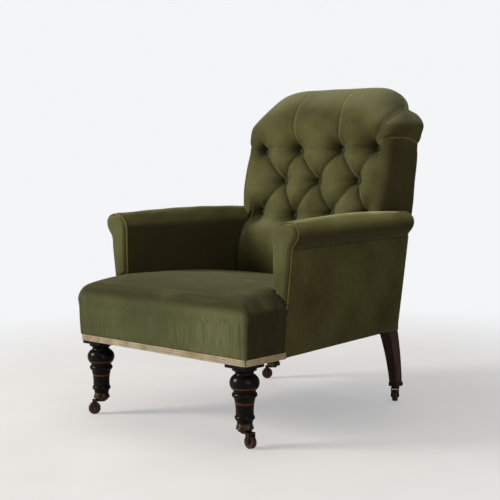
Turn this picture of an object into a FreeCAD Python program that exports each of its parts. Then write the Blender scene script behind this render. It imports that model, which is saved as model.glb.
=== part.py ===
import FreeCAD, Part
import math
import os

import Sketcher
from FreeCAD import Placement, Rotation, Vector

# Button back armchair on castors
# Millimetres. The front of the chair faces -Y, +X is the right side seen from the front,
# and the origin lies on the floor under the middle of the chair.

SIZES = {
    # beech seat frame
    "rail_bottom": 206,
    "rail_height": 64,
    "rail_thickness": 30,
    "front_leg_x": 270,
    "front_leg_y": 366,
    "leg_block": 56,
    "rear_rail_setback": 6,
    "corner_block_reach": 60,
    "corner_block_height": 30,
    "corner_block_drop": 8,
    "block_screw_radius": 2,
    "block_screw_head_radius": 4,
    "block_screw_head_height": 2,
    "block_screw_length": 46,
    # turned front legs
    "leg_end": 45,
    "capital_side": 68,
    "capital_height": 8.6,
    "leg_ball_radius": 36.3,
    "stem_recess_radius": 7.5,
    "stem_recess_depth": 8,
    # rear legs, each one plank with the raked back post
    "post_x": 230,
    "post_thickness": 36,
    "post_front": 256,
    "post_depth": 42,
    "post_top": 812,
    "foot_front": 293,
    "foot_back": 320.5,
    "foot_taper": 12,
    "leg_front_sweep": 6.5,
    "leg_back_sweep": 4,
    # back frame
    "crest_above_posts": 38,
    "crest_rail_height": 60,
    "lower_rail_bottom": 330,
    "lower_rail_top": 375,
    # arms
    "arm_front": 258,
    "arm_post_thickness": 24,
    "arm_inner_x": 272,
    "arm_foot_width": 34,
    "arm_neck_x": 341,
    "arm_neck_z": 487,
    "arm_waist_x": 333,
    "arm_waist_z": 445,
    "scroll_width": 85,
    "scroll_height": 59,
    "arm_taper": 50,
    "arm_past_posts": 4,
    "arm_crown": 8,
    "arm_pad_bottom": 282,
    "arm_pad_thickness": 21,
    "arm_rail_bottom": 505,
    "arm_rail_height": 25,
    "arm_rail_width": 34,
    "arm_rail_inset": 28,
    "lower_arm_rail_bottom": 285,
    "lower_arm_rail_height": 20,
    "lower_arm_rail_width": 12,
    "lower_arm_rail_inset": 25.5,
    "post_lap_gap": 1.8,
    "post_edge_inset": 7,
    "facing_thickness": 6.5,
    "facing_crown": 7.5,
    "piping_radius": 3.2,
    "outside_arm_inset": 2.5,
    "outside_arm_thickness": 1.6,
    "outside_arm_top": 475,
    # covers and fits
    "cover_thickness": 2.2,
    "cover_gap": 0.3,
    "cover_overrun": 5,
    "cloth_thickness": 1,
    "webbing_thickness": 1.2,
    "cutting_overrun": 3,
    # seat upholstery
    "seat_front": 397,
    "seat_front_bulge": 15,
    "seat_ear_x": 301,
    "seat_ear_bulge": 12,
    "seat_corner": 20,
    "seat_foot_corner": 9,
    "seat_crown": 388,
    "seat_back_y": 247,
    "seat_arm_gap": 0.5,
    "seat_ear_gap": 1.4,
    "facing_tip": 335,
    "stuffing_bottom": 225,
    "seat_web_width": 50,
    "spring_spacing_x": 128,
    "spring_spacing_y": 190,
    "spring_middle_y": 60,
    "spring_wire_radius": 1.8,
    "spring_base_radius": 42,
    "spring_waist_radius": 30,
    "spring_top_radius": 38,
    "spring_top": 324,
    "hessian_margin": 12,
    "gimp_height": 16.5,
    "gimp_thickness": 3,
    "dust_cover_margin": 7,
    "dust_cover_leg_gap": 6,
    # back upholstery
    "back_bottom": 366,
    "back_shelf": 551,
    "shelf_step": 1,
    "wing_x": 270,
    "button_row_low": 538,
    "button_row_rise": 91,
    "button_pitch": 138.8,
    "button_radius": 11,
    "button_height": 6.5,
    "button_socket_gap": 0.4,
    "pit_depth": 40,
    "pleat_depth": 18,
    "pleat_half_width": 2.5,
    "pleat_gather": 40,
    "crown_seat_y": 140,
    "crown_low_y": 187,
    "crown_mid_y": 207,
    "crown_high_y": 222,
    "wing_round": 22,
    "back_top": 898,
    "crest_front_y": 352,
    "crest_back_y": 411,
    "back_web_width": 40,
    "tie_radius": 1,
    "toggle_radius": 3,
    "toggle_height": 2.2,
    "outside_back_thickness": 2,
    # castors
    "wheel_radius": 16.5,
    "wheel_width": 15,
    "wheel_edge": 3,
    "axle_radius": 2.25,
    "running_gap": 0.05,
    "cheek_gap": 0.6,
    "cheek_thickness": 3,
    "cheek_end_radius": 6,
    "castor_trail": 20,
    "horn_bottom": 35.5,
    "horn_thickness": 4,
    "horn_radius": 11,
    "cup_bottom": 40,
    "stem_radius": 4,
    "rivet_radius": 6.5,
    "rivet_height": 3,
    "rivet_gap": 0.3,
    "cup_leg_radius": 16.8,
    "cup_height": 19.6,
    "cup_flange_radius": 22,
    "cup_flute_depth": 0.8,
    "cup_fit": 0.3,
    "cup_leg_gap": 0.6,
    "square_cup_height": 11,
    "square_cup_wall": 1.2,
    "cup_screw_radius": 1.2,
    "cup_screw_head_radius": 2.6,
    "cup_screw_head_height": 1.2,
    "cup_screw_length": 7,
    "cup_screw_rise": 3,
}

# Directions in which the castors trail when the chair is at rest, in degrees from +X
CASTOR_ANGLES = {
    "front_left": 231,
    "front_right": -6,
    "rear_left": 222,
    "rear_right": -60,
}


class Sized(float):
    """A number that also keeps the sheet formula that it comes from."""

    def __new__(cls, value, formula):
        number = super().__new__(cls, value)
        number.formula = formula
        return number

    @staticmethod
    def text(value):
        return value.formula if isinstance(value, Sized) else repr(float(value))

    def __add__(self, other):
        return Sized(float(self) + float(other), f"({self.formula} + {self.text(other)})")

    def __radd__(self, other):
        return Sized(float(other) + float(self), f"({self.text(other)} + {self.formula})")

    def __sub__(self, other):
        return Sized(float(self) - float(other), f"({self.formula} - {self.text(other)})")

    def __rsub__(self, other):
        return Sized(float(other) - float(self), f"({self.text(other)} - {self.formula})")

    def __mul__(self, other):
        return Sized(float(self) * float(other), f"({self.formula} * {self.text(other)})")

    __rmul__ = __mul__

    def __truediv__(self, other):
        return Sized(float(self) / float(other), f"({self.formula} / {self.text(other)})")

    def __neg__(self):
        return Sized(-float(self), f"(0 - {self.formula})")


doc = FreeCAD.newDocument("button_back_armchair")
sheet = doc.addObject("Spreadsheet::Sheet", "sizes")
for row, (name, value) in enumerate(SIZES.items(), start=1):
    sheet.set(f"A{row}", name)
    sheet.set(f"B{row}", str(value))
    sheet.setAlias(f"B{row}", name)
doc.recompute()


class Sheet:
    """Reads the sheet's cells by name."""

    def __getattr__(self, name):
        return Sized(float(sheet.get(name)), f"sizes.{name}")


size = Sheet()
parts = []


def keep(obj, label):
    """Registers a finished piece under the name that its file gets."""
    obj.Label = label
    parts.append(obj)
    return obj


def feature(label, shape, place=None, kept=True):
    obj = doc.addObject("Part::Feature", label)
    obj.Shape = shape
    if place is not None:
        obj.Placement = place
    return keep(obj, label) if kept else obj


def cut(label, base, tool):
    obj = doc.addObject("Part::Cut", label)
    obj.Base = base
    obj.Tool = tool
    return keep(obj, label)


def new_body(label):
    return doc.addObject("PartDesign::Body", label)


def move(obj, **places):
    """Binds an object's place to the sheet."""
    for axis, value in places.items():
        obj.setExpression(f"Placement.Base.{axis}", value.formula)


def mirrored(outline, side):
    """The same outline on the left (-1) or right (+1) side of the chair."""
    return [(x * side, y, *(bulge * side for bulge in rest)) for x, y, *rest in outline]


# Each point of an outline is (x, y) or (x, y, bulge). A bulge is the rise of an arc to the
# next point, to the right of the way the outline runs.
def add_sketch(body, name, role, outline, offset=None):
    sketch = body.newObject("Sketcher::SketchObject", name)
    plane = [origin for origin in body.Origin.OriginFeatures if origin.Role == role][0]
    sketch.AttachmentSupport = [(plane, "")]
    sketch.MapMode = "FlatFace"
    if offset is not None:
        sketch.AttachmentOffset = Placement(Vector(0, 0, offset), Rotation())
        sketch.setExpression("AttachmentOffset.Base.z", offset.formula)
    ends = []
    count = len(outline)
    for index in range(count):
        x0, y0, *rest = outline[index]
        x1, y1 = outline[(index + 1) % count][:2]
        if not rest:
            line = Part.LineSegment(Vector(x0, y0, 0), Vector(x1, y1, 0))
            sketch.addGeometry(line, False)
            ends.append((1, 2))
            continue
        bulge = rest[0]
        across = x1 - x0
        along = y1 - y0
        side = 1 if bulge > 0 else -1
        chord = math.hypot(across, along)
        radius = ((across * across + along * along) / 4 + bulge * bulge) / (bulge * 2 * side)
        sink = bulge - side * radius
        middle_x = (x0 + x1) / 2 + along / chord * sink
        middle_y = (y0 + y1) / 2 - across / chord * sink
        start = math.atan2(y0 - middle_y, x0 - middle_x)
        end = math.atan2(y1 - middle_y, x1 - middle_x)
        circle = Part.Circle(Vector(middle_x, middle_y, 0), Vector(0, 0, 1), float(radius))
        if side > 0:
            sketch.addGeometry(Part.ArcOfCircle(circle, start, end), False)
            ends.append((1, 2))
        else:
            sketch.addGeometry(Part.ArcOfCircle(circle, end, start), False)
            ends.append((2, 1))
        limit = sketch.addConstraint(Sketcher.Constraint("Radius", index, float(radius)))
        sketch.setExpression(f"Constraints[{limit}]", radius.formula)
    for index in range(count):
        following = (index + 1) % count
        sketch.addConstraint(
            Sketcher.Constraint("Coincident", index, ends[index][1], following, ends[following][0])
        )
    for index, point in enumerate(outline):
        for kind, value in (("DistanceX", point[0]), ("DistanceY", point[1])):
            limit = sketch.addConstraint(
                Sketcher.Constraint(kind, -1, 1, index, ends[index][0], float(value))
            )
            if isinstance(value, Sized):
                sketch.setExpression(f"Constraints[{limit}]", value.formula)
    return sketch


def add_pad(body, sketch, length, centred=False):
    pad = body.newObject("PartDesign::Pad", sketch.Name + "_pad")
    pad.Profile = sketch
    pad.Length = float(length)
    pad.setExpression("Length", length.formula)
    if centred:
        pad.SideType = "Symmetric"
    return pad


def turn(body, sketch):
    """Turns a half profile about its upright axis."""
    turned = body.newObject("PartDesign::Revolution", sketch.Name + "_turned")
    turned.Profile = sketch
    turned.ReferenceAxis = (sketch, ["V_Axis"])
    turned.Angle = 360
    return turned


def padded_body(label, role, outline, length, centred=False, offset=None):
    body = new_body(label)
    sketch = add_sketch(body, label + "_outline", role, outline, offset)
    add_pad(body, sketch, length, centred)
    return body


def box(x0, y0, z0, x1, y1, z1):
    return Part.makeBox(x1 - x0, y1 - y0, z1 - z0, Vector(x0, y0, z0))


def prism(points, height):
    """Extrudes a closed polygon of vectors."""
    return Part.Face(Part.makePolygon([*points, points[0]])).extrude(height)


def rod(start, end, radius):
    return Part.makeCylinder(radius, (end - start).Length, start, end - start)


def between(low, high, share):
    return low + (high - low) * share


rail_top = size.rail_bottom + size.rail_height
leg_half = size.leg_block / 2
rail_end_x = size.front_leg_x + leg_half
leg_back_y = leg_half - size.front_leg_y
leg_front_y = -leg_half - size.front_leg_y
post_inner = size.post_x - size.post_thickness / 2
post_outer = size.post_x + size.post_thickness / 2
post_back = size.post_front + size.post_depth
SIDES = {"left": -1, "right": 1}
crest_rail_top = size.post_top + size.crest_above_posts
crest_rail_bottom = crest_rail_top - size.crest_rail_height
# How far the posts lean back, and how far they get thinner, as shares of their rise
back_rake_share = 0.1513
post_thinning_share = 0.0184


def post_back_at(z):
    """The raked back edge of the posts at a height."""
    return post_back + (z - rail_top) * back_rake_share


def post_front_at(z):
    return size.post_front + (z - rail_top) * (back_rake_share + post_thinning_share)


def rail_outer_at(y):
    """The outer face of the side rails, which run inwards to the back."""
    run = size.post_front - leg_back_y
    return rail_end_x - (rail_end_x - post_outer) * (y - leg_back_y) / run


# Seat rails, tenoned between the leg blocks and the back posts
front_rail = padded_body(
    "front_seat_rail",
    "XY_Plane",
    [
        (leg_half - size.front_leg_x, leg_front_y),
        (size.front_leg_x - leg_half, leg_front_y),
        (size.front_leg_x - leg_half, leg_front_y + size.rail_thickness),
        (leg_half - size.front_leg_x, leg_front_y + size.rail_thickness),
    ],
    size.rail_height,
)
move(front_rail, z=size.rail_bottom)
keep(front_rail, "front_seat_rail")

rear_rail_front = size.post_front + size.rear_rail_setback
rear_rail = padded_body(
    "rear_seat_rail",
    "XY_Plane",
    [
        (-post_inner, rear_rail_front),
        (post_inner, rear_rail_front),
        (post_inner, rear_rail_front + size.rail_thickness),
        (-post_inner, rear_rail_front + size.rail_thickness),
    ],
    size.rail_height,
)
move(rear_rail, z=size.rail_bottom)
keep(rear_rail, "rear_seat_rail")

for side_name, side in SIDES.items():
    outline = [
        (rail_end_x - size.rail_thickness, leg_back_y),
        (rail_end_x, leg_back_y),
        (post_outer, size.post_front),
        (post_outer - size.rail_thickness, size.post_front),
    ]
    side_rail = padded_body(
        "side_seat_rail_" + side_name, "XY_Plane", mirrored(outline, side), size.rail_height
    )
    move(side_rail, z=size.rail_bottom)
    keep(side_rail, "side_seat_rail_" + side_name)

# Corner blocks, glued into the four corners of the seat frame, and a screw through each
front_rail_back = leg_front_y + size.rail_thickness
block_top = rail_top - size.corner_block_drop
block_bottom = block_top - size.corner_block_height
front_reach_y = leg_back_y + size.corner_block_reach
rear_reach_y = size.post_front - size.corner_block_reach
block_corners = {
    "front": [
        (size.front_leg_x - leg_half - size.corner_block_reach, front_rail_back),
        (size.front_leg_x - leg_half, front_rail_back),
        (size.front_leg_x - leg_half, leg_back_y),
        (rail_end_x - size.rail_thickness, leg_back_y),
        (rail_outer_at(front_reach_y) - size.rail_thickness, front_reach_y),
    ],
    "rear": [
        (post_inner - size.corner_block_reach, rear_rail_front),
        (post_inner, rear_rail_front),
        (post_inner, size.post_front),
        (post_outer - size.rail_thickness, size.post_front),
        (rail_outer_at(rear_reach_y) - size.rail_thickness, rear_reach_y),
    ],
}
block_shapes = []
screw_shapes = []
screw_bores = []
for corners in block_corners.values():
    for side in SIDES.values():
        points = [Vector(x * side, y, block_bottom) for x, y in corners]
        block = prism(points, Vector(0, 0, size.corner_block_height))
        middle = (points[0] + points[4]) * 0.5 + Vector(0, 0, size.corner_block_height / 2)
        inward = points[2] + Vector(0, 0, size.corner_block_height / 2) - middle
        inward = Vector(inward).normalize()
        slope = Vector(points[4] - points[0]).normalize()
        square = slope.cross(Vector(0, 0, 1))
        if square.dot(inward) < 0:
            square = -square
        head_end = middle - square * size.block_screw_head_height
        tip = middle + square * size.block_screw_length
        shank = rod(middle, tip, size.block_screw_radius)
        screw_shapes.append(rod(head_end, middle, size.block_screw_head_radius).fuse(shank))
        screw_bores.append(shank)
        block_shapes.append(block.cut(shank))
feature("corner_blocks", Part.makeCompound(block_shapes))
feature("corner_block_screws", Part.makeCompound(screw_shapes))
bores = feature("corner_screw_bores", Part.makeCompound(screw_bores), kept=False)

# Turned front legs: a square block between the rails, a square capital, then rings, a ball
# and a slender taper. Shares of the turned height and of the ball's radius, and of that
# radius again for the rise of each rounded stretch.
turned_shares = (
    (1.0, 0.84, 0),
    (0.955, 0.84, 0),
    (0.938, 0.69, -0.07),
    (0.879, 0.71, 0.28),
    (0.63, 0.76, 0),
    (0.597, 0.76, 0.115),
    (0.515, 0.74, -0.055),
    (0.223, 0.62, 0.09),
    (0.144, 0.57, 0),
    (0.0958, 0.53, 0),
)
turned_height = size.rail_bottom - size.capital_height - size.leg_end
cup_top = size.cup_bottom + size.cup_height
cup_floor = size.leg_end - size.cup_bottom


def square_outline(half):
    return [(-half, -half), (half, -half), (half, half), (-half, half)]


def block_outline(half, corner):
    """A leg block with its outer front corner rounded, on the right side."""
    rise = corner * (1 - math.sqrt(0.5))
    return [(-half, -half), (half - corner, -half, rise), (half, corner - half), (half, half),
            (-half, half)]


def cup_screw_holes(reach, thickness):
    """Bores along X for the two screws of a castor cup."""
    across = Vector(reach + size.cutting_overrun, 0, 0)
    height = Vector(0, 0, size.leg_end + size.cup_screw_rise)
    return rod(height - across, height + across, thickness)


for side_name, side in SIDES.items():
    label = "front_leg_" + side_name
    leg = new_body(label + "_turning")
    axis_top = size.leg_end + size.stem_recess_depth
    outline = [
        (0, axis_top),
        (size.stem_recess_radius, axis_top),
        (size.stem_recess_radius, size.leg_end),
        (size.cup_leg_radius - size.cup_fit, size.leg_end),
        (size.cup_leg_radius - size.cup_fit, cup_top + size.cup_fit),
    ]
    for height_share, radius_share, rise_share in reversed(turned_shares):
        point = (size.leg_ball_radius * radius_share, size.leg_end + turned_height * height_share)
        outline.append(point)
    rises = [shares[2] for shares in reversed(turned_shares)]
    first = len(outline) - len(rises)
    for index in range(len(rises) - 1):
        rise_share = rises[index + 1]
        if rise_share:
            outline[first + index] += (size.leg_ball_radius * rise_share,)
    outline.append((0, size.leg_end + turned_height))
    turn(leg, add_sketch(leg, label + "_profile", "XZ_Plane", outline))
    capital_bottom = size.rail_bottom - size.capital_height
    half = size.capital_side / 2
    add_pad(
        leg,
        add_sketch(leg, label + "_capital", "XY_Plane", square_outline(half), capital_bottom),
        size.capital_height,
    )
    add_pad(
        leg,
        add_sketch(leg, label + "_block", "XY_Plane",
                   mirrored(block_outline(leg_half, size.seat_foot_corner), side),
                   size.rail_bottom),
        size.rail_height,
    )
    move(leg, x=size.front_leg_x * side, y=-size.front_leg_y)
    holes = feature(
        label + "_holes",
        cup_screw_holes(size.cup_leg_radius, size.cup_screw_radius).fuse(
            Part.makeCompound(
                [bore.translated(Vector(-size.front_leg_x * side, size.front_leg_y, 0))
                 for bore in screw_bores]
            )
        ),
        Placement(Vector(size.front_leg_x * side, -size.front_leg_y, 0), Rotation()),
        kept=False,
    )
    cut(label, leg, holes)

# Rear legs: sabre leg below the seat, raked post above it, sawn from one plank
foot_x = size.post_x + size.foot_taper / 2
foot_y = (size.foot_front + size.foot_back) / 2
plank_outline = [
    (size.foot_front, size.leg_end),
    (size.foot_back, size.leg_end, size.leg_back_sweep),
    (post_back, size.rail_bottom),
    (post_back, rail_top),
    (post_back_at(size.post_top), size.post_top),
    (post_front_at(size.post_top), size.post_top),
    (size.post_front, rail_top),
    (size.post_front, size.rail_bottom, -size.leg_front_sweep),
]
for side_name, side in SIDES.items():
    label = "rear_leg_" + side_name
    plank = padded_body(
        label + "_plank", "YZ_Plane", plank_outline, size.post_thickness, centred=True
    )
    move(plank, x=size.post_x * side)
    inner = post_inner * side
    taper = prism(
        [
            Vector(inner - side * size.cutting_overrun, 0, size.leg_end - size.cutting_overrun),
            Vector(inner + side * size.foot_taper, 0, size.leg_end - size.cutting_overrun),
            Vector(inner + side * size.foot_taper, 0, size.leg_end),
            Vector(inner, 0, size.rail_bottom),
            Vector(inner - side * size.cutting_overrun, 0, size.rail_bottom),
        ],
        Vector(0, size.foot_back + size.post_depth, 0),
    )
    foot = Vector(foot_x * side, foot_y, 0)
    recess = rod(
        foot + Vector(0, 0, size.leg_end - size.cutting_overrun),
        foot + Vector(0, 0, size.leg_end + size.stem_recess_depth),
        size.stem_recess_radius,
    )
    reach = size.post_thickness
    screw_holes = cup_screw_holes(reach, size.cup_screw_radius).translated(foot)
    tools = taper.fuse([recess, screw_holes, *screw_bores])
    cut(label, plank, feature(label + "_waste", tools, kept=False))

# Back frame: crest rail between the post tops, lower back rail above the seat
for label, low, high in (
    ("crest_rail", crest_rail_bottom, crest_rail_top),
    ("lower_back_rail", size.lower_rail_bottom, size.lower_rail_top),
):
    outline = [
        (post_front_at(low), low),
        (post_back_at(low), low),
        (post_back_at(high), high),
        (post_front_at(high), high),
    ]
    rail = padded_body(label, "YZ_Plane", outline, post_inner * 2, centred=True)
    keep(rail, label)


def line(start, end):
    return Part.LineSegment(start, end).toShape()


# Two directions closer than this share a straight line
straight_limit = 1e-9


def biarc_edges(points, tangents):
    """Joins points with pairs of arcs that keep the directions given at them."""
    edges = []
    for start, end, out, into in zip(points, points[1:], tangents, tangents[1:]):
        span = end - start
        both = out + into
        flat = 2 * (1 - out.dot(into))
        if flat < straight_limit:
            edges.append(line(start, end))
            continue
        reach = (math.sqrt(span.dot(both) ** 2 + 2 * flat * span.dot(span)) - span.dot(both)) / (
            2 * flat
        )
        first = start + out * reach
        second = end - into * reach
        join = (first + second) * 0.5
        for near, corner, far in ((start, first, join), (join, second, end)):
            middle = (near + far) * 0.5
            rise = corner - middle
            half = (far - near).Length / 2
            turn_angle = math.atan2(rise.Length, half)
            rise.normalize()
            crest = middle + rise * (half * math.tan(turn_angle / 2))
            edges.append(Part.Arc(near, crest, far).toShape())
    return edges


# Arms. The front scroll's outline is shared by the arm post, the facing, its piping, the
# stuffing and the cover. Shares of the scroll's width and height, then the outline's
# direction there in degrees.
scroll_shares = {
    "neck": (0.812, 0.0, 48),
    "outside": (1.0, 0.56, 90),
    "crown": (0.553, 1.0, 180),
    "inside": (0.0, 0.22, 270),
}


arm_back_y = post_back + size.arm_past_posts
arm_length = arm_back_y + size.arm_front


def arm_inner_at(y):
    """The inner face of the arms, which run inwards to the back."""
    return size.arm_inner_x - size.arm_taper * (y + size.arm_front) / arm_length


def scroll_points(inset, y, rise=0, side=1, shift=0):
    """Points and directions of the rolled top of an arm, from its neck over to its inside."""
    places = []
    directions = []
    for across, up, angle in scroll_shares.values():
        way = Vector(math.cos(math.radians(angle)), 0, math.sin(math.radians(angle)))
        x = size.arm_inner_x + size.scroll_width * across - inset * way.z
        z = size.arm_neck_z + (size.scroll_height + rise) * up + inset * way.x
        places.append(Vector((x + shift) * side, y, z))
        directions.append(Vector(way.x * side, 0, way.z))
    return places, directions


def scroll_edges(inset, y, rise=0, side=1, shift=0):
    return biarc_edges(*scroll_points(inset, y, rise, side, shift))


def outer_edges(inset, foot_inset, y, side, low):
    """The outer edge of an arm's front, from a height up to the scroll's neck."""
    places, directions = scroll_points(inset, y, 0, side)
    foot_x = size.arm_inner_x + size.arm_foot_width - foot_inset
    waist_x = size.arm_waist_x - inset
    share = (low - size.rail_bottom) / (size.arm_waist_z - size.rail_bottom)
    foot = Vector(between(foot_x, waist_x, share) * side, y, low)
    waist = Vector(waist_x * side, y, size.arm_waist_z)
    way = (waist - foot).normalize()
    return [line(foot, waist), *biarc_edges([waist, places[0]], [way, directions[0]])]


def arm_section(y, inset, rise, side, back_out, under_out, bottom):
    """A closed section of an arm's padding: roll on top, pad down its inner face."""
    shift = arm_inner_at(y) - size.arm_inner_x
    roll = scroll_edges(inset, y, rise, side, shift)
    neck = roll[0].firstVertex().Point
    inside = roll[-1].lastVertex().Point
    inner_x = arm_inner_at(y)
    pad_x = (inner_x + size.arm_pad_thickness + back_out) * side
    foot_in = Vector((inner_x + inset) * side, y, bottom)
    foot_back = Vector(pad_x, y, bottom)
    pad_top = Vector(pad_x, y, neck.z - under_out)
    under = Vector(neck.x, y, neck.z - under_out)
    edges = [*roll, line(inside, foot_in), line(foot_in, foot_back), line(foot_back, pad_top)]
    if under_out:
        edges += [line(pad_top, under), line(under, neck)]
    else:
        edges.append(line(pad_top, neck))
    return Part.Wire(edges)


def facing_wire(y, inset, side):
    """The outline of an arm's padded front, down to its tip beside the seat."""
    roll = scroll_edges(inset, y, 0, side)
    outside = outer_edges(inset, inset, y, side, size.facing_tip)
    inside = roll[-1].lastVertex().Point
    tip = outside[0].firstVertex().Point
    corner = Vector(inside.x, y, size.facing_tip)
    return Part.Wire([*roll, line(inside, corner), line(corner, tip), *outside])


def arm_post_wire(y, inset, side):
    """The outline of an arm post: scroll above, foot on the rail, lap outside the rail."""
    roll = scroll_edges(inset, y, 0, side)
    outside = outer_edges(inset, inset, y, side, size.rail_bottom)
    inside = roll[-1].lastVertex().Point
    lap_x = (rail_outer_at(y) + size.post_lap_gap) * side
    points = [
        inside,
        Vector(inside.x, y, rail_top),
        Vector(lap_x, y, rail_top),
        Vector(lap_x, y, size.rail_bottom),
        outside[0].firstVertex().Point,
    ]
    foot = [line(start, end) for start, end in zip(points, points[1:])]
    return Part.Wire([*roll, *foot, *outside])


arm_mid_y = (arm_back_y - size.arm_front) / 2
arm_post_back = size.arm_post_thickness - size.arm_front


def post_envelope(gap, side):
    """The space of a back post, with a gap all round, and all that lies behind it."""
    low = size.rail_bottom - size.cutting_overrun
    far = size.crest_back_y
    points = [
        Vector(0, size.post_front - gap, low),
        Vector(0, far, low),
        Vector(0, far, size.post_top + gap),
        Vector(0, post_front_at(size.post_top) - gap, size.post_top + gap),
        Vector(0, size.post_front - gap, rail_top),
    ]
    width = size.post_thickness + gap * 2
    start = (post_inner - gap) if side > 0 else -(post_outer + gap)
    return prism(points, Vector(width, 0, 0)).translated(Vector(start, 0, 0))


def arm_loft(side, inset, back_out, under_out, front_y, back_y, bottom):
    sections = []
    for y in (front_y, arm_mid_y, back_y):
        rise = size.arm_crown if y == arm_mid_y else 0
        sections.append(arm_section(y, inset, rise, side, back_out, under_out, bottom))
    return Part.makeLoft(sections, True, True)


arm_rail_end = arm_back_y - size.cover_thickness - size.cover_gap
ARM_RAILS = (
    ("arm_rail_", size.arm_rail_bottom, size.arm_rail_height, size.arm_rail_inset,
     size.arm_rail_width, arm_rail_end),
    ("lower_arm_rail_", size.lower_arm_rail_bottom, size.lower_arm_rail_height,
     size.lower_arm_rail_inset, size.lower_arm_rail_width,
     post_back_at(size.lower_arm_rail_bottom)),
)
# How far the rails' rear ends reach out beside the back posts
rail_end_share = 0.62


def arm_rail_outline(inset, width, low, end_y, gap=0):
    start_x = arm_inner_at(arm_post_back) + inset
    outside = arm_inner_at(post_back) + inset + width
    end_x = between(post_outer, outside, rail_end_share) + gap
    return [
        (start_x - gap, arm_post_back),
        (start_x + width + gap, arm_post_back),
        (end_x, end_y + gap),
        (post_outer - gap, end_y + gap),
        (post_outer - gap, post_front_at(low)),
    ]


def piping_shape(y, side):
    inset = size.piping_radius
    roll = scroll_edges(inset, y, 0, side)
    outside = outer_edges(inset, inset, y, side, size.facing_tip)
    foot = outside[0].firstVertex().Point
    inside = roll[-1].lastVertex().Point
    seat_end = Vector(inside.x, y, size.facing_tip)
    path = Part.Wire([*outside, *roll, line(inside, seat_end)])
    way = outside[0].lastVertex().Point - foot
    ring = Part.Wire(Part.makeCircle(inset, foot, way))
    return path.makePipeShell([ring], True, False)


def outside_arm_shape(side):
    """A flat panel between the rail line and the line under the roll."""
    wires = []
    for y, foot_x, shift in (
        (-size.arm_front + size.cover_gap,
         size.arm_inner_x + size.arm_foot_width - size.outside_arm_inset, 0),
        (post_back, post_outer + size.outside_arm_inset,
         arm_inner_at(post_back) - size.arm_inner_x),
    ):
        top_x = size.arm_neck_x - size.outside_arm_inset * 2 + shift
        points = [
            Vector(foot_x * side, y, size.rail_bottom),
            Vector(top_x * side, y, size.outside_arm_top),
            Vector((top_x - size.outside_arm_thickness) * side, y, size.outside_arm_top),
            Vector((foot_x - size.outside_arm_thickness) * side, y, size.rail_bottom),
        ]
        wires.append(Part.makePolygon([*points, points[0]]))
    return Part.makeLoft(wires, True, True)


# Depth shares of the padded facing, and how much its edge draws in there
facing_crown_shares = ((0.0, 0.0), (0.46, 0.0), (0.85, 0.45), (1.0, 1.0))
facing_back_y = -size.arm_front - size.cover_gap
facing_edge_inset = size.piping_radius * 2 + size.cover_gap * 2
for side_name, side in SIDES.items():
    # Arm post: its foot stands on the side rail and laps over the rail's outside
    wire = arm_post_wire(-size.arm_front, size.post_edge_inset, side)
    feature(
        "arm_post_" + side_name,
        Part.Face(wire).extrude(Vector(0, size.arm_post_thickness, 0)),
    )

    # Arm rail under the roll and the lower arm rail, from the arm post to the back post
    for label, low, height, inset, width, end_y in ARM_RAILS:
        outline = mirrored(arm_rail_outline(inset, width, low, end_y), side)
        rail = padded_body(label + side_name, "XY_Plane", outline, height)
        move(rail, z=low)
        keep(rail, label + side_name)

    # Cover: velvet over the roll, closed behind, tacked under the roll and below the pad
    outer = arm_loft(side, 0, 0, 0, -size.arm_front + size.cover_gap, arm_back_y,
                     size.arm_pad_bottom)
    inner = arm_loft(side, size.cover_thickness, size.cover_overrun, size.cover_overrun,
                     -size.arm_front - size.cutting_overrun, arm_back_y - size.cover_thickness,
                     size.arm_pad_bottom - size.cutting_overrun)
    post_space = post_envelope(size.cover_gap, side)
    feature("arm_cover_" + side_name, outer.cut(inner).cut(post_space))

    # Stuffing: hair and wadding round the arm rail and down the inner face
    stuffing = arm_loft(side, size.cover_thickness + size.cover_gap, 0, 0,
                        arm_post_back + size.cover_gap,
                        arm_back_y - size.cover_thickness - size.cover_gap,
                        size.arm_pad_bottom + size.cover_gap)
    gap = size.cover_gap
    slot_points = mirrored(
        arm_rail_outline(size.arm_rail_inset, size.arm_rail_width, size.arm_rail_bottom,
                         arm_rail_end, gap),
        side,
    )
    slot = prism(
        [Vector(x, y, size.arm_rail_bottom - gap) for x, y in slot_points],
        Vector(0, 0, size.arm_rail_height + gap * 2),
    )
    feature("arm_stuffing_" + side_name, stuffing.cut(post_space).cut(slot))

    # Facing: padded board that closes the front of the arm
    wires = []
    for depth_share, crown_share in facing_crown_shares:
        y = facing_back_y - (size.facing_thickness + size.facing_crown) * depth_share
        crown = size.facing_crown * crown_share
        wires.append(facing_wire(y, facing_edge_inset + crown, side))
    feature("arm_facing_" + side_name, Part.makeLoft(wires, True, True))

    # Piping: a covered cord sewn round the facing, from the rail up and over to the seat
    y = facing_back_y - size.piping_radius
    feature("facing_piping_" + side_name, piping_shape(y, side))

    # Outside arm: velvet on a hessian backing, tacked below the roll and under the rail
    feature("outside_arm_" + side_name, outside_arm_shape(side))


# Seat upholstery: webbing under the rails, nine springs on it, hessian over the springs
seat_web_z = size.rail_bottom - size.webbing_thickness
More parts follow.
